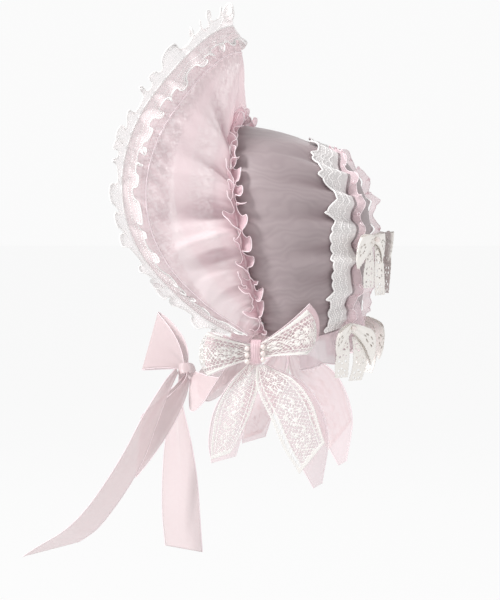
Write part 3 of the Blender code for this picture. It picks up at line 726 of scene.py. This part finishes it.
def brim_lace(a, b):
    """The edge lace: b 0 at the hem on the brim, 0.5 at the brim's edge, 1 at the outer hem."""
    out = np.abs(2 * b - 1)
    side = np.sign(b - 0.5)
    phase = uneven(a, BRIM_LACE_LOOPS, 2.2) + 0.9 * side
    size = 1 + 0.35 * np.sin(phase * 0.41 + 1) + 0.2 * np.sin(phase * 0.77)
    lean = 0.0045 * np.sin(phase * 0.27 + 2 * side) * np.sin(phase)
    sway = out**1.3 * size * (0.0022 * np.sin(2 * phase) + lean)
    t = even_steps(EDGE, -LAST, LAST, a + sway)
    bend = out * (4.6 + 4.0 * size * np.sin(phase + 0.5))
    lobe = size * out**1.4 * np.cos(phase)
    reach = (16 - side) * np.sin(out * pi / 2) + (4.8 + 1.4 * side) * lobe
    s_in = 1 - np.minimum(reach / brim_length(t), 0.45)
    normal = brim_normal(t, t * 0 + 1)
    laid = brim(t, s_in) + brim_normal(t, s_in) * (0.9 + np.maximum(bend, 0))[..., None]
    near = np.clip(t, 0.02 - LAST, LAST - 0.02)
    outward = unit(brim_plain(near, t * 0 + 0.98) - brim_plain(near, t * 0 + 0.96))
    share = smooth_line(LACE_REACH, np.abs(t))[..., 0] / LACE_REACH[0, 0]
    turned = 9.0 * out * (1 - share)
    stood = brim(t, t * 0 + 1) + outward * (reach * share)[..., None]
    stood = stood + normal * (0.9 + 1.4 * bend - 4.2 * out * share + turned)[..., None]
    return np.where((b < 0.5)[..., None], laid, stood)


LACE_NET = cloth_material(
    "lace_net", ORGANZA, ((255, 250, 250), (252, 243, 244), (240, 226, 228)), 0.28, 0.6, sheen=0.2
)
edge_net = lay_sheet("brim_lace_net", 1000, 12, brim_lace, NET_CUT)
give_wall(edge_net, NET_WALL)
finish_piece(edge_net, LACE_NET, "white_lace", ["brim_lace"], NET_CUT)
worked = [
    thread("brim_lace_cord", edge_line(brim_lace, BRIM_LACE_LOOPS * 32, b), radius, sides=4)
    for b, radius in BRIM_LACE_CORDS
]
turns = np.arange(ZIGZAG_TURNS)
for low, high in BRIM_LACE_ZIGZAGS:
    zigzag = brim_lace(turns / turns[-1], np.where(turns % 2, low, high))
    worked.append(thread("brim_lace_zigzag", zigzag, ZIGZAG_RADIUS, sides=4))
dots = [
    (u, b * BRIM_LACE_STRIP[1], BRIM_DOT_SIZE)
    for b in BRIM_LACE_DOTS
    for u in np.arange(2, BRIM_LACE_STRIP[0] - 1, BRIM_DOT_PACE)
]
edge_lace = stud_sheet(brim_lace, BRIM_LACE_STRIP, dots, "brim_lace_border")
join_into(edge_lace, *worked)
finish_piece(edge_lace, WHITE_LACE, "white_lace", [])

# A band of the same lace is sewn flat on the inside of the brim. It is seen through the cloth.
INNER_LACE_CUT = (770, 28)


def inner_lace(a, b):
    """The inner lace: b 0 at its stitched side near the brim's edge, 1 at its free side."""
    t = even_steps(EDGE, 0.8 - LAST, LAST - 0.8, a)
    s = 0.86 - 0.24 * b
    lower = 1.2 + 1.6 * b * (1 + np.cos(uneven(a, 30, 0.8)))
    return brim(t, s) - brim_normal(t, s) * lower[..., None]


def inner_lace_pattern(u, w):
    """Flowers and leaves on a net, inside a cord that is scalloped on one side."""
    bow = 2.4 * np.abs(np.cos(pi * u / 12))
    inside = np.minimum(w, INNER_LACE_CUT[1] - w - (2.4 - bow))
    petal = np.hypot(near_multiple(u, 12), w - 19)
    leaf = np.hypot(near_multiple(u + 6, 12), (w - 11) * 0.7)
    flower = ((petal < 4.2) & (petal > 1.2)) | (leaf < 2.4)
    net = (near_multiple(u + w, 4) < 0.6) | (near_multiple(u - w, 4) < 0.6)
    return ((inside > 0) & (inside < 1.7)) | ((inside > 0) & (flower | net))


shown_through = lay_sheet("inner_lace_cloth", 560, 20, inner_lace, INNER_LACE_CUT)
cut_lace(shown_through, inner_lace_pattern)
give_wall(shown_through, LACE_WALL)
finish_piece(
    shown_through, WHITE_LACE, "white_lace", ["inner_lace"], INNER_LACE_CUT
)

# Embroidered net lace is sewn round the back ring and lies forward over the crown in soft waves.
# It has a thick corded scallop and curved rows of satin-stitched dots on a sheer ground.
BACK_LACE_CUT = (570, 24)
BACK_LACE_WAVES = 11
DOT_ROWS = [
    # how far each row of dots lies inside the corded edge, and how big a dot is
    (3.4, 0.8),
    (6.2, 0.7),
    (11.6, 0.9),
    (18.6, 0.7),
]
SCALLOP, SCALLOP_DEPTH, DOT_PACE = 12.0, 2.6, 2.6
BACK_LACE_CORDS = [
    # how far each cord lies inside the scallops, and its radius
    (0.0, 0.95),
    (8.6, 0.5),
    (16.0, 0.5),
]


def back_lace(a, b):
    """The ring lace: b 0 at the ring, 1 at its scalloped edge over the crown."""
    phase = uneven(a, BACK_LACE_WAVES, 1.6)
    t = even_steps(RING, 0.2 - LAST, LAST - 0.2, a - 0.003 * b * np.sin(phase))
    tucked = 8 * np.exp(-(((np.abs(t) - 3.6) / 0.7) ** 2))
    v = 0.99 - b * (24 - tucked + 3.0 * np.cos(phase) + 2 * np.sin(phase * 0.43)) / 120
    rise = 1.6 + b * (2.0 + 1.3 * np.sin(phase))
    return crown(t, v) + crown_normal(t, v) * rise[..., None]


def scallop_edge(u):
    """How far the corded edge lies inside the cut's outer edge, in millimetres."""
    return SCALLOP_DEPTH * (1 - np.abs(np.cos(pi * u / SCALLOP)))


def back_lace_spots():
    """The dots that follow the scallops, and those of the inner row, which swing the other way."""
    spots = []
    for inside, size in DOT_ROWS:
        for u in np.arange(1.2, BACK_LACE_CUT[0] - 1, DOT_PACE):
            swing = scallop_edge(u) * (1 if inside < 12 else -0.6)
            spots.append((u, BACK_LACE_CUT[1] - inside - swing, size))
    return spots


RING_NET = cloth_material(
    "ring_net", ORGANZA, ((255, 252, 251), (250, 246, 246), (236, 222, 224)), 0.6, 0.6, sheen=0.8
)
ring_lace = lay_sheet("back_lace_net", 420, 16, back_lace, BACK_LACE_CUT)
cut_lace(ring_lace, lambda u, w: BACK_LACE_CUT[1] - w > scallop_edge(u) - 0.7)
give_wall(ring_lace, SHEER)
finish_piece(ring_lace, RING_NET, "white_lace", ["back_lace"], BACK_LACE_CUT)
cord_u = np.linspace(1, BACK_LACE_CUT[0] - 1, 900)
cords = []
for inside, radius in BACK_LACE_CORDS:
    cord_b = 1 - (scallop_edge(cord_u) + inside) / BACK_LACE_CUT[1]
    cords.append(thread("back_lace_cord", back_lace(cord_u / BACK_LACE_CUT[0], cord_b), radius))
stitches = stud_sheet(back_lace, BACK_LACE_CUT, back_lace_spots(), "back_lace_embroidery")
join_into(stitches, *cords)
finish_piece(stitches, WHITE_LACE, "white_lace", [])

# A pink frill of the ruffle's cloth stands out behind the back ring, wider in two places.
TULLE_WIDTHS = np.array([(w, 0, 0) for w in (4, 5, 7, 9, 9, 7, 5, 6, 9, 9, 8, 8)], float)
TULLE_CUT = (520, 10)
BACK_TULLE = cloth_material(
    "back_tulle", ORGANZA, ((255, 236, 240), (250, 224, 230), (240, 205, 214)), 0.38, 0.6, watering=0.1
)


def back_tulle(a, b):
    """The frill behind the ring: b 0 where it is sewn on, 1 at its rolled edge."""
    phase = uneven(a, 26, 1.4)
    t = even_steps(RING, 0.3 - LAST, LAST - 0.3, a - 0.009 * b * np.sin(phase))
    normal = crown_normal(t, t * 0 + 0.98)
    away = unit(normal * 0.9 + np.array((0, 0.6, 0)))
    side = unit(np.cross(np.cross(np.array((0.0, 1.0, 0.0)), away), away))
    width = smooth_line(TULLE_WIDTHS, np.abs(t))[..., 0]
    base = crown(t, t * 0 + 1) + normal * 1.2 + np.array((0, 0.9, 0))
    return base + away * (width * b)[..., None] + side * (3.4 * b * np.cos(phase))[..., None]


frill = lay_sheet("back_tulle_cloth", 420, 5, back_tulle, TULLE_CUT)
give_wall(frill, SHEER)
finish_piece(frill, BACK_TULLE, "pink_ruffle", ["back_tulle"], TULLE_CUT)
frill_hem = thread("back_tulle_hem", edge_line(back_tulle, 420, 1), 0.4)
finish_piece(frill_hem, ROLLED_EDGE, "pink_ruffle", [])

# A sheer frill with a rolled pink edge hangs from the crown's lower edge round the nape.
NECK_CUT = (290, 32)
NECK_START = 0.5
NECK_ORGANZA = cloth_material(
    "neck_organza", ORGANZA, ((240, 226, 230), (228, 210, 215), (214, 190, 196)), 0.45, 0.45, watering=0.1
)


def nape_line(q):
    """The crown's lower edge: q 0 by the left bow, 1 at the middle of the nape, 2 by the right bow."""
    v = NECK_START + (2 - NECK_START) * np.minimum(q, 2 - q)
    p = crown(np.full_like(v, LAST), v)
    p[..., 0] = np.where(q <= 1, p[..., 0], -p[..., 0])
    return p


def neck_frill(a, b):
    """The frill round the nape: b 0 where it is sewn on, 1 at its rolled edge."""
    q = 2 * a
    start = nape_line(q)
    run = nape_line(np.minimum(q + 0.02, 2)) - nape_line(np.maximum(q - 0.02, 0))
    outward = unit(np.stack([run[..., 1], -run[..., 0], np.zeros_like(a)], axis=-1))
    phase = uneven(a, 15, 0.8)
    wide = 31 * b * (1 + 0.05 * np.sin(phase * 0.6))
    swing = 4.4 * b * np.cos(phase) + 3.6 * b
    hang = np.array((0, 0, 1.0)) * (wide - 1.5 * (1 - b))[..., None]
    return start - outward * 0.9 - hang + outward * swing[..., None]


nape_cloth = lay_sheet("neck_frill_cloth", 300, 8, neck_frill, NECK_CUT)
give_wall(nape_cloth, SHEER)
finish_piece(nape_cloth, NECK_ORGANZA, "bow_organza", ["neck_frill"], NECK_CUT)
nape_hem = thread("neck_frill_hem", edge_line(neck_frill, 300, 1), 0.6)
finish_piece(nape_hem, ROLLED_EDGE, "pink_ruffle", [])

# A bow of wide ivory lace over pink organza sits on each side of the jaw, held by a band of
# gathered organza between two columns of pearls, with two tails of each ribbon below.
SIDE_BOW = ((97.6, -11, -222), (0.04, 1, 0), (0, 0, 1))
BOW_SPLIT = 0.9
LACE_LOOPS = [
    # length, rise, width, depth, sweep
    (62, -4, 46, 9, -14.0),
    (63, 21, 46, 16, 0.0),
]
ORGANZA_LOOPS = [
    (60, -3, 46, 6, -14.0),
    (64, 26, 46, 7, 1.0),
]
SIDE_TAILS = {
    # rows of along, up and out from the knot, then widths, tilt and how far the end is cut askew
    "tail_lace_front": (
        [(-5, -12.9, 2), (-11, -28, 3), (-20, -52, 4), (-29, -82, 2), (-38, -108, 0)],
        [8, 28, 42, 38, 24], [0.0, 0.3, 0.5], 4,
    ),
    "tail_lace_back": (
        [(5, -12.4, 4), (20, -31, 8), (37, -58, 8), (48, -86, 6), (58, -107, 4)],
        [8, 38, 46, 44, 38], [0.0, 0.5, 0.6], -15,
    ),
    "tail_organza_front": (
        [(-5, -12.9, -2), (-14, -31, -3), (-26, -56, -4), (-33, -86, -5), (-36, -112, -6)],
        [8, 30, 40, 38, 26], [0.0, 0.3, 0.3], 0,
    ),
    "tail_organza_back": (
        [(5, -12.9, -2), (22, -31, -3), (41, -58, -4), (56, -96, -5), (62, -136, -6)],
        [8, 36, 44, 38, 10], [0.0, 0.5, 0.6], 0,
    ),
}
PEARLS = [
    # along, up and out from the knot's middle
    (-8.4, 3.4, 7.4),
    (-8.4, -3.4, 7.4),
    (-8.4, -10.0, 7.4),
    (8.4, 5.6, 9.8),
    (8.4, -1.2, 9.8),
    (8.4, -7.8, 8.8),
]
PEARL_RADIUS = 2.7
BOW_PINCH, KNOT_HALF_SIZE = (2.6, 13), (5.0, 12.0, 7.9)
BOW_RING_CUT, TAIL_CUT = (270, 46), (118, 46)
ORGANZA_RING_CUT, ORGANZA_TAIL_CUT = (236, 41), (118, 33)
TAIL_HEM = 5
KNOT_BAND_LENGTH, KNOT_PLEATS = 70, 4
BOW_LACE = cloth_material("bow_lace", YARN, ((255, 254, 251), (248, 243, 239)), 1.0, 0.8, bump=0.4)
BOW_ORGANZA = cloth_material(
    "bow_organza", ORGANZA, ((248, 230, 234), (240, 216, 221), (226, 194, 201)), 0.36, 0.4,
    sheen=0.4, watering=0.1,
)


def in_place(bow, side):
    """A bow's own frame, as a function of along, up and out; the right side mirrors the left."""
    middle, along, upward = (np.array(row, float) for row in bow)
    along = unit(along)
    out = unit(np.cross(along, upward))
    upward = np.cross(out, along)

    def at(a, u, o):
        shifts = (np.multiply.outer(far, way) for far, way in ((a, along), (u, upward), (o, out)))
        return sum(shifts, middle) * np.array((side, 1, 1))

    return at


def bow_ring(at, loops, pinch, front, creases=1.3, droop=0.0):
    """The surface of two loops made of one ring of ribbon that is pinched and creased at the knot.

    droop: how far the outer ends of the loops hang down, in millimetres.
    """

    def surface(a, b):
        turn = 2 * pi * a
        ahead = np.cos(turn) >= 0
        length, rise, wide, depth, sweep = (np.where(ahead, second, first) for first, second in zip(*loops))
        share = np.abs(np.cos(turn))
        rounded = 1 - 0.16 * (np.abs(2 * b - 1) ** 2.5) * share
        fat = (pinch[0] + (depth - pinch[0]) * share**0.7) / 2
        width = pinch[1] + (wide - pinch[1]) * share**1.2
        crease = creases * np.cos(5 * pi * b) * np.exp(-share * 3.2) * np.minimum(1, share * 5)
        out = front * (BOW_SPLIT + fat) + np.sin(turn) * fat + sweep * share**1.5
        out = out + crease * np.sign(np.sin(turn))
        lift = rise * share - droop * share**2.5 + (b - 0.5) * width
        return at(np.where(ahead, 1, -1) * length * share * rounded, lift, out)

    return surface


def ribbon(middle, across, widths, slant=0.0, ripple=1.5):
    """The surface of a length of ribbon, from its middle line, its direction across and its widths."""
    middle, across = np.array(middle, float), np.array(across, float)
    wide = np.array([(w, 0, 0) for w in widths], float)
    last = len(middle) - 1

    def surface(a, b):
        t = a * last
        ahead = smooth_line(middle, np.minimum(t + 0.05, last))
        along = unit(ahead - smooth_line(middle, np.maximum(t - 0.05, 0)))
        side = unit(smooth_line(across, a * (len(across) - 1)))
        normal = unit(np.cross(along, side))
        width = smooth_line(wide, a * (len(wide) - 1))[..., :1]
        fold = ripple * (np.cos(3 * pi * b) + 0.4 * np.cos(7 * pi * b)) * (1 - a) ** 1.5
        fold = fold * np.minimum(1.0, a * 6)
        askew = along * (slant * (b - 0.5) * a**3)[..., None]
        flat = smooth_line(middle, t) + side * width * (b - 0.5)[..., None]
        return flat + normal * fold[..., None] + askew

    return surface


def bow_lace_pattern(u, w, width):
    """Picots, pinholes, two ladders of long holes, and flowers and scrolls on a net between them."""
    inside = np.minimum(w, width - w)
    mid = w - width / 2
    picot = (inside < 1.0) & (near_multiple(u, 2.7) < 0.85)
    pinhole = (np.abs(inside - 2.6) < 0.45) & (near_multiple(u, 1.8) < 0.45)
    edge = (inside >= 1.0) & (inside < 4.3) & ~pinhole
    first = (inside >= 4.3) & (inside < 7.2) & (near_multiple(u + inside, 5.0) < 0.65)
    rail = (inside >= 7.2) & (inside < 8.3)
    second = (inside >= 8.3) & (inside < 10.6) & (near_multiple(u + 2.5 - inside, 5.0) < 0.7)
    centre = inside >= 10.6
    along_flower = (u + 15) % 30 - 15
    far = np.hypot(along_flower, mid)
    turn = np.arctan2(mid, along_flower)
    petals = 7.4 + 2.0 * np.cos(5 * turn)
    outline = np.abs(far - petals) < 0.95
    heart = (far < 2.7) & (far > 0.9)
    vein = (far < petals) & (far > 2.7) & (near_multiple(turn * 9 / pi, 1.8) < 0.42)
    scroll = np.abs(mid - 8.2 * np.sin(2 * pi * u / 30 + 0.6)) < 0.85
    scroll = scroll | (np.abs(mid + 7.0 * np.sin(2 * pi * u / 30 + 0.2)) < 0.75)
    net = (near_multiple(u + mid * 0.7, 4.2) < 0.48) | (near_multiple(u - mid * 0.7, 4.2) < 0.48)
    flower = outline | heart | vein | (scroll & (far > petals)) | ((far > petals) & net)
    return picot | edge | first | rail | second | (centre & flower)


def tail_lace_pattern(u, w, width):
    """The same lace with a plain hem at the tail's end."""
    return bow_lace_pattern(u, w, width) | (u > TAIL_CUT[0] - TAIL_HEM)


def organza_ribbon(name, surface, columns, rows, cut, material, slot, node, closed=False, hem=0.5):
    """A sheer ribbon with a fine cord woven into its edges; closed: its ends meet in the knot."""
    made = lay_sheet(name, columns, rows, surface, cut)
    if closed:
        merge_points(made)
    give_wall(made, SHEER)
    hems = [thread(f"{name}_hem", edge_line(surface, columns, b), hem) for b in (0, 1)]
    finish_piece(made, material, slot, [node], cut)
    join_into(*hems)
    finish_piece(hems[0], ROLLED_EDGE, slot, [])


def lace_ribbon(name, surface, columns, rows, cut, material, slot, node, pattern, closed=False):
    """A ribbon cut through by pattern(along, across, width); closed: its ends meet in the knot."""
    made = lay_sheet(name, columns, rows, surface, cut)
    if closed:
        merge_points(made)
    cut_lace(made, lambda u, w: pattern(u, w, cut[1]))
    give_wall(made, LACE_WALL)
    finish_piece(made, material, slot, [node], cut)


def knot_band(name, at, half_size, material, slot, node):
    """A tube of ribbon, drawn in round the loops, with lengthwise pleats."""
    half_along, half_up, half_out = half_size

    def surface(a, b):
        turn = 2 * pi * a
        swell = 1 + 0.10 * np.sin(pi * b) + 0.035 * np.cos(2 * pi * KNOT_PLEATS * b)
        up_down, out = (np.sign(c) * np.abs(c) ** 0.7 for c in (np.cos(turn), np.sin(turn)))
        up_down = up_down * half_up * (0.97 + 0.03 * swell)
        out = out * half_out * swell
        return at((2 * b - 1) * half_along * (1 + 0.05 * np.sin(3 * turn)), up_down, out)

    cut = (KNOT_BAND_LENGTH, 2 * half_along)
    made = lay_sheet(name, 56, 28, surface, cut)
    merge_points(made)
    give_wall(made, SHEER)
    finish_piece(made, material, slot, [node], cut)


pearl_shell = bpy.data.materials.new("pearl")
pearl_shell.use_nodes = True
shell_tree = pearl_shell.node_tree
gloss = shell_tree.nodes["Principled BSDF"]
set_inputs(gloss, {"Roughness": 0.18, "Coat Weight": 0.6, "Coat Roughness": 0.05})
lustre = add_node(shell_tree, "TexNoise", {"Scale": 260})
nacre = add_node(
    shell_tree, "Mix", data_type="RGBA", inputs={6: paint(250, 240, 232), 7: paint(240, 226, 226)}
)
link(shell_tree, add_node(shell_tree, "TexCoord"), "Object", lustre, "Vector")
link(shell_tree, lustre, "Fac", nacre, 0)
link(shell_tree, nacre, 2, gloss, "Base Color")


def pearl(name, centre, node):
    """A pearl with a shallow drilled dimple at each end of its thread."""
    bpy.ops.object.select_all(action="DESELECT")
    bpy.ops.mesh.primitive_uv_sphere_add(segments=20, ring_count=12, radius=PEARL_RADIUS * MM)
    made = bpy.context.object
    made.name = made.data.name = name
    for corner in made.data.vertices:
        if np.hypot(corner.co.x, corner.co.y) < 0.3 * PEARL_RADIUS * MM:
            corner.co.z *= 0.93
    made.data.transform(Matrix.Translation(Vector(centre) * MM))
    made.data.shade_smooth()
    finish_piece(made, pearl_shell, "bead", [node])


for side, word in ((1, "left"), (-1, "right")):
    at = in_place(SIDE_BOW, side)
    lace_ribbon(
        f"{word}_bow_lace_ribbon", bow_ring(at, LACE_LOOPS, BOW_PINCH, 1), 300, 56, BOW_RING_CUT,
        BOW_LACE, "bow_lace", f"{word}_bow_lace", bow_lace_pattern, closed=True,
    )
    organza_ribbon(
        f"{word}_bow_organza_ribbon", bow_ring(at, ORGANZA_LOOPS, BOW_PINCH, -1), 120, 16,
        ORGANZA_RING_CUT, BOW_ORGANZA, "bow_organza", f"{word}_bow_organza", closed=True,
    )
    knot_band(
        f"{word}_bow_knot_band", at, KNOT_HALF_SIZE, RUFFLE_ORGANZA, "pink_ruffle", f"{word}_bow_knot"
    )
    for part, (rows, widths, tilt, slant) in SIDE_TAILS.items():
        surface = ribbon(at(*zip(*rows)), [(0, 1, z) for z in tilt], widths, slant)
        node = f"{word}_{part}"
        if "lace" in part:
            lace_ribbon(
                f"{node}_ribbon", surface, 136, 54, TAIL_CUT,
                BOW_LACE, "bow_lace", node, tail_lace_pattern,
            )
        else:
            organza_ribbon(
                f"{node}_ribbon", surface, 60, 12, ORGANZA_TAIL_CUT, BOW_ORGANZA, "bow_organza", node
            )
    for number, (a, u, o) in enumerate(PEARLS, 1):
        pearl(f"{word}_bow_pearl_{number}", at(a, u, o), f"{word}_bow_bead_{number}")

# Two small bows of ivory eyelet ribbon sit on each side of the back ring, each with a pearl.
BACK_BOWS = {
    # middle, along, up; loops as above; the outer tail's rows; the inner tail's rows
    "upper": (
        ((51.5, 100.7, -108), (-0.88, 0.47, 0.0), (0.1, 0.1, 1)),
        [(29, -7, 34, 10, -2.0), (20, -4, 32, 9, -3.0)],
        [(-5, -7, 2), (-7, -20, 5), (-8, -36, 6.5), (-6, -50, 6.5)],
        [(5, -7, 2), (12, -22, 3), (18, -40, 2), (26, -60, 0)],
    ),
    "lower": (
        ((60.6, 79, -198), (-0.75, 0.66, 0.0), (0.1, 0.1, 1)),
        [(20, -10, 24, 9, -1.0), (34, -16, 36, 10, -1.0)],
        [(-5, -8, 2), (-8, -20, 4), (-10, -36, 5), (-9, -52, 5)],
        [(5, -10, 2), (11, -22, 4), (14, -38, 5), (10, -56, 5)],
    ),
}
SMALL_TAIL_WIDTHS = [6, 16, 20, 18]
SMALL_PINCH, SMALL_DROOP, SMALL_PEARL_OUT = (2.6, 9), 7, 7.1
SMALL_RING_CUT, SMALL_TAIL_CUT = (118, 28), (54, 19)
IVORY = cloth_material(
    "ivory_ribbon", YARN, ((255, 252, 248), (244, 238, 232)), 1.0, 0.6, sheen=0.5, bump=0.3
)


def eyelet_pattern(u, w, width):
    """Solid ribbon with rings of eyelets round small flowers, and a fine picot edge."""
    inside = np.minimum(w, width - w)
    along_ring = (u + 8) % 16 - 8
    far = np.hypot(along_ring, w - width / 2)
    turn = np.arctan2(w - width / 2, along_ring)
    hole = (np.abs(far - 4.6) < 0.85) & (near_multiple(turn * 6 / (2 * pi), 1.0) < 0.24)
    return ((inside >= 0.9) & ~hole) | ((inside < 0.9) & (near_multiple(u, 2.2) < 0.75))


for side, word in ((1, "left"), (-1, "right")):
    for level, (bow, loops, *tails) in BACK_BOWS.items():
        at = in_place(bow, side)
        node = f"{word}_{level}_back_bow"
        ring = bow_ring(at, loops, SMALL_PINCH, 1, creases=0.9, droop=SMALL_DROOP)
        lace_ribbon(
            f"{node}_ribbon", ring, 140, 32, SMALL_RING_CUT,
            IVORY, "ivory_ribbon", node, eyelet_pattern, closed=True,
        )
        across = [at(1, 0, 0) - at(0, 0, 0)] * 2
        for tail, rows in zip(("outer", "inner"), tails):
            surface = ribbon(at(*zip(*rows)), across, SMALL_TAIL_WIDTHS, ripple=0.8)
            lace_ribbon(
                f"{node}_tail_{tail}_ribbon", surface, 60, 22, SMALL_TAIL_CUT,
                IVORY, "ivory_ribbon", f"{node}_tail_{tail}", eyelet_pattern,
            )
        pearl(f"{node}_pearl", at(0, 0, SMALL_PEARL_OUT), f"{node}_bead")

# The ties are wide organza ribbons that run from under the bows to a bow below the chin, with
# one long tail in front. They are sheer, with a narrow woven edge.
TIE_KNOT = ((0, -103, -253), (0.51, 0.14, -0.84), (0.84, 0.0, 0.51))
TIE_PINCH, TIE_KNOT_HALF_SIZE = (4.0, 8.6), (6, 12, 8)
TIE_HEM, TIE_RIPPLE = 0.4, 2.0
TIE_LOOP_CUT, STRAP_CUT, LONG_TAIL_CUT, SHORT_TAIL_CUT = (180, 40), (150, 37), (270, 55), (190, 50)
LONG_TAIL_SLANT, SHORT_TAIL_SLANT = 40, 12
TIE_LOOPS = {
    # where each loop starts in the knot, how far it is led along it, its outer fold, its depth
    "tie_loop_right": (-3, -22, (-40, -143, -191), (-40, -161, -254), 15),
    "tie_loop_left": (3, 22, (24, -148, -298), (24, -154, -363), 15),
}
STRAP = [(81.4, -7, -202), (80, -26, -226), (75, -48, -257), (56, -69, -270), (32, -84, -266)]
STRAP_ENDS = {"left": (9.5, -95, -255), "right": (-11.4, -92.0, -252.4)}
STRAP_WIDTHS = [24, 46, 60, 54, 36, 12]
STRAP_ACROSS = [(0, 0.9, 0.5), (0, 0.8, 0.6), (0.2, 0.7, 0.7), (0.3, 0.6, 0.8)]
LONG_TAIL = [
    (6, -112.8, -250), (46, -117, -267), (60, -131, -299), (62, -145, -331), (62, -162, -361),
    (62, -183, -391), (62, -205, -414), (62, -237, -436),
]
LONG_TAIL_WIDTHS = [12, 34, 48, 56, 60, 60, 60, 60]
LONG_TAIL_ACROSS = [(0.84, 0.0, 0.5), (0.9, -0.15, 0.3), (0.95, -0.2, 0.22), (0.95, -0.2, 0.25)]
SHORT_TAIL = [
    (-5, -112.6, -259), (-19, -119, -286), (-21, -117, -330), (-18, -115, -370),
    (-15, -113, -408), (-14, -110, -444),
]
SHORT_TAIL_WIDTHS = [10, 24, 44, 56, 60, 60]
SHORT_TAIL_ACROSS = [(0.84, 0.0, 0.5), (0.7, 0.7, 0.0), (0.6, 0.8, 0.1), (0.6, 0.8, 0.2)]
TIE_ORGANZA = cloth_material(
    "tie_organza", ORGANZA, ((238, 223, 224), (228, 210, 212), (214, 192, 195)), 0.6, 0.4,
    sheen=0.4, watering=0.1,
)


def mirrored(rows, side):
    """Rows of the left side's points, or with side -1 the right side's."""
    return [(x * side, y, z) for x, y, z in rows]


def ribbon_loop(at, start, led, fold, depth):
    """One loop of a bow: it leaves the knot at start, turns at its outer fold and comes back."""
    start_point, leaves = at(start, 0, 0), at(led, 0, 0) - at(0, 0, 0)
    narrow = at(0, -TIE_PINCH[1], 0) - at(0, TIE_PINCH[1], 0)
    top, bottom = (np.array(p, float) for p in fold)
    end = (top + bottom) / 2
    sideways = unit(np.cross(end - start_point, bottom - top))

    def surface(a, b):
        turn = 2 * pi * a
        share = ((1 - np.cos(turn)) / 2)[..., None]
        first = start_point + leaves * share
        second = start_point + leaves + (end - start_point - leaves) * share
        middle = first + (second - first) * share
        across = narrow + (bottom - top - narrow) * share**1.2
        fat = TIE_PINCH[0] + (depth / 2 - TIE_PINCH[0]) * share
        crease = 1.4 * np.cos(5 * pi * b)[..., None] * np.exp(-share * 3) * np.minimum(1, share * 8)
        out = np.sin(turn)[..., None] * (fat + crease)
        return middle + across * (b - 0.5)[..., None] + sideways * out

    return surface


def tie_ribbon(node, surface, columns, cut, **more):
    """A piece of the ties' wide ribbon."""
    organza_ribbon(
        f"{node}_ribbon", surface, columns, 16, cut, TIE_ORGANZA, "tie_organza", node, hem=TIE_HEM, **more
    )


knot_at = in_place(TIE_KNOT, 1)
knot_band("tie_knot_band", knot_at, TIE_KNOT_HALF_SIZE, TIE_ORGANZA, "tie_organza", "tie_knot")
for name, (start, led, top, bottom, depth) in TIE_LOOPS.items():
    tie_ribbon(name, ribbon_loop(knot_at, start, led, (top, bottom), depth), 110, TIE_LOOP_CUT, closed=True)
for side, word in ((1, "left"), (-1, "right")):
    path, across = mirrored(STRAP, side) + [STRAP_ENDS[word]], mirrored(STRAP_ACROSS, side)
    tie_ribbon(f"{word}_tie", ribbon(path, across, STRAP_WIDTHS, ripple=TIE_RIPPLE), 80, STRAP_CUT)
long_tail = ribbon(LONG_TAIL, LONG_TAIL_ACROSS, LONG_TAIL_WIDTHS, LONG_TAIL_SLANT, TIE_RIPPLE)
tie_ribbon("tie_tail_left", long_tail, 120, LONG_TAIL_CUT)
short_tail = ribbon(SHORT_TAIL, SHORT_TAIL_ACROSS, SHORT_TAIL_WIDTHS, SHORT_TAIL_SLANT, TIE_RIPPLE)
tie_ribbon("tie_tail_right", short_tail, 90, SHORT_TAIL_CUT)
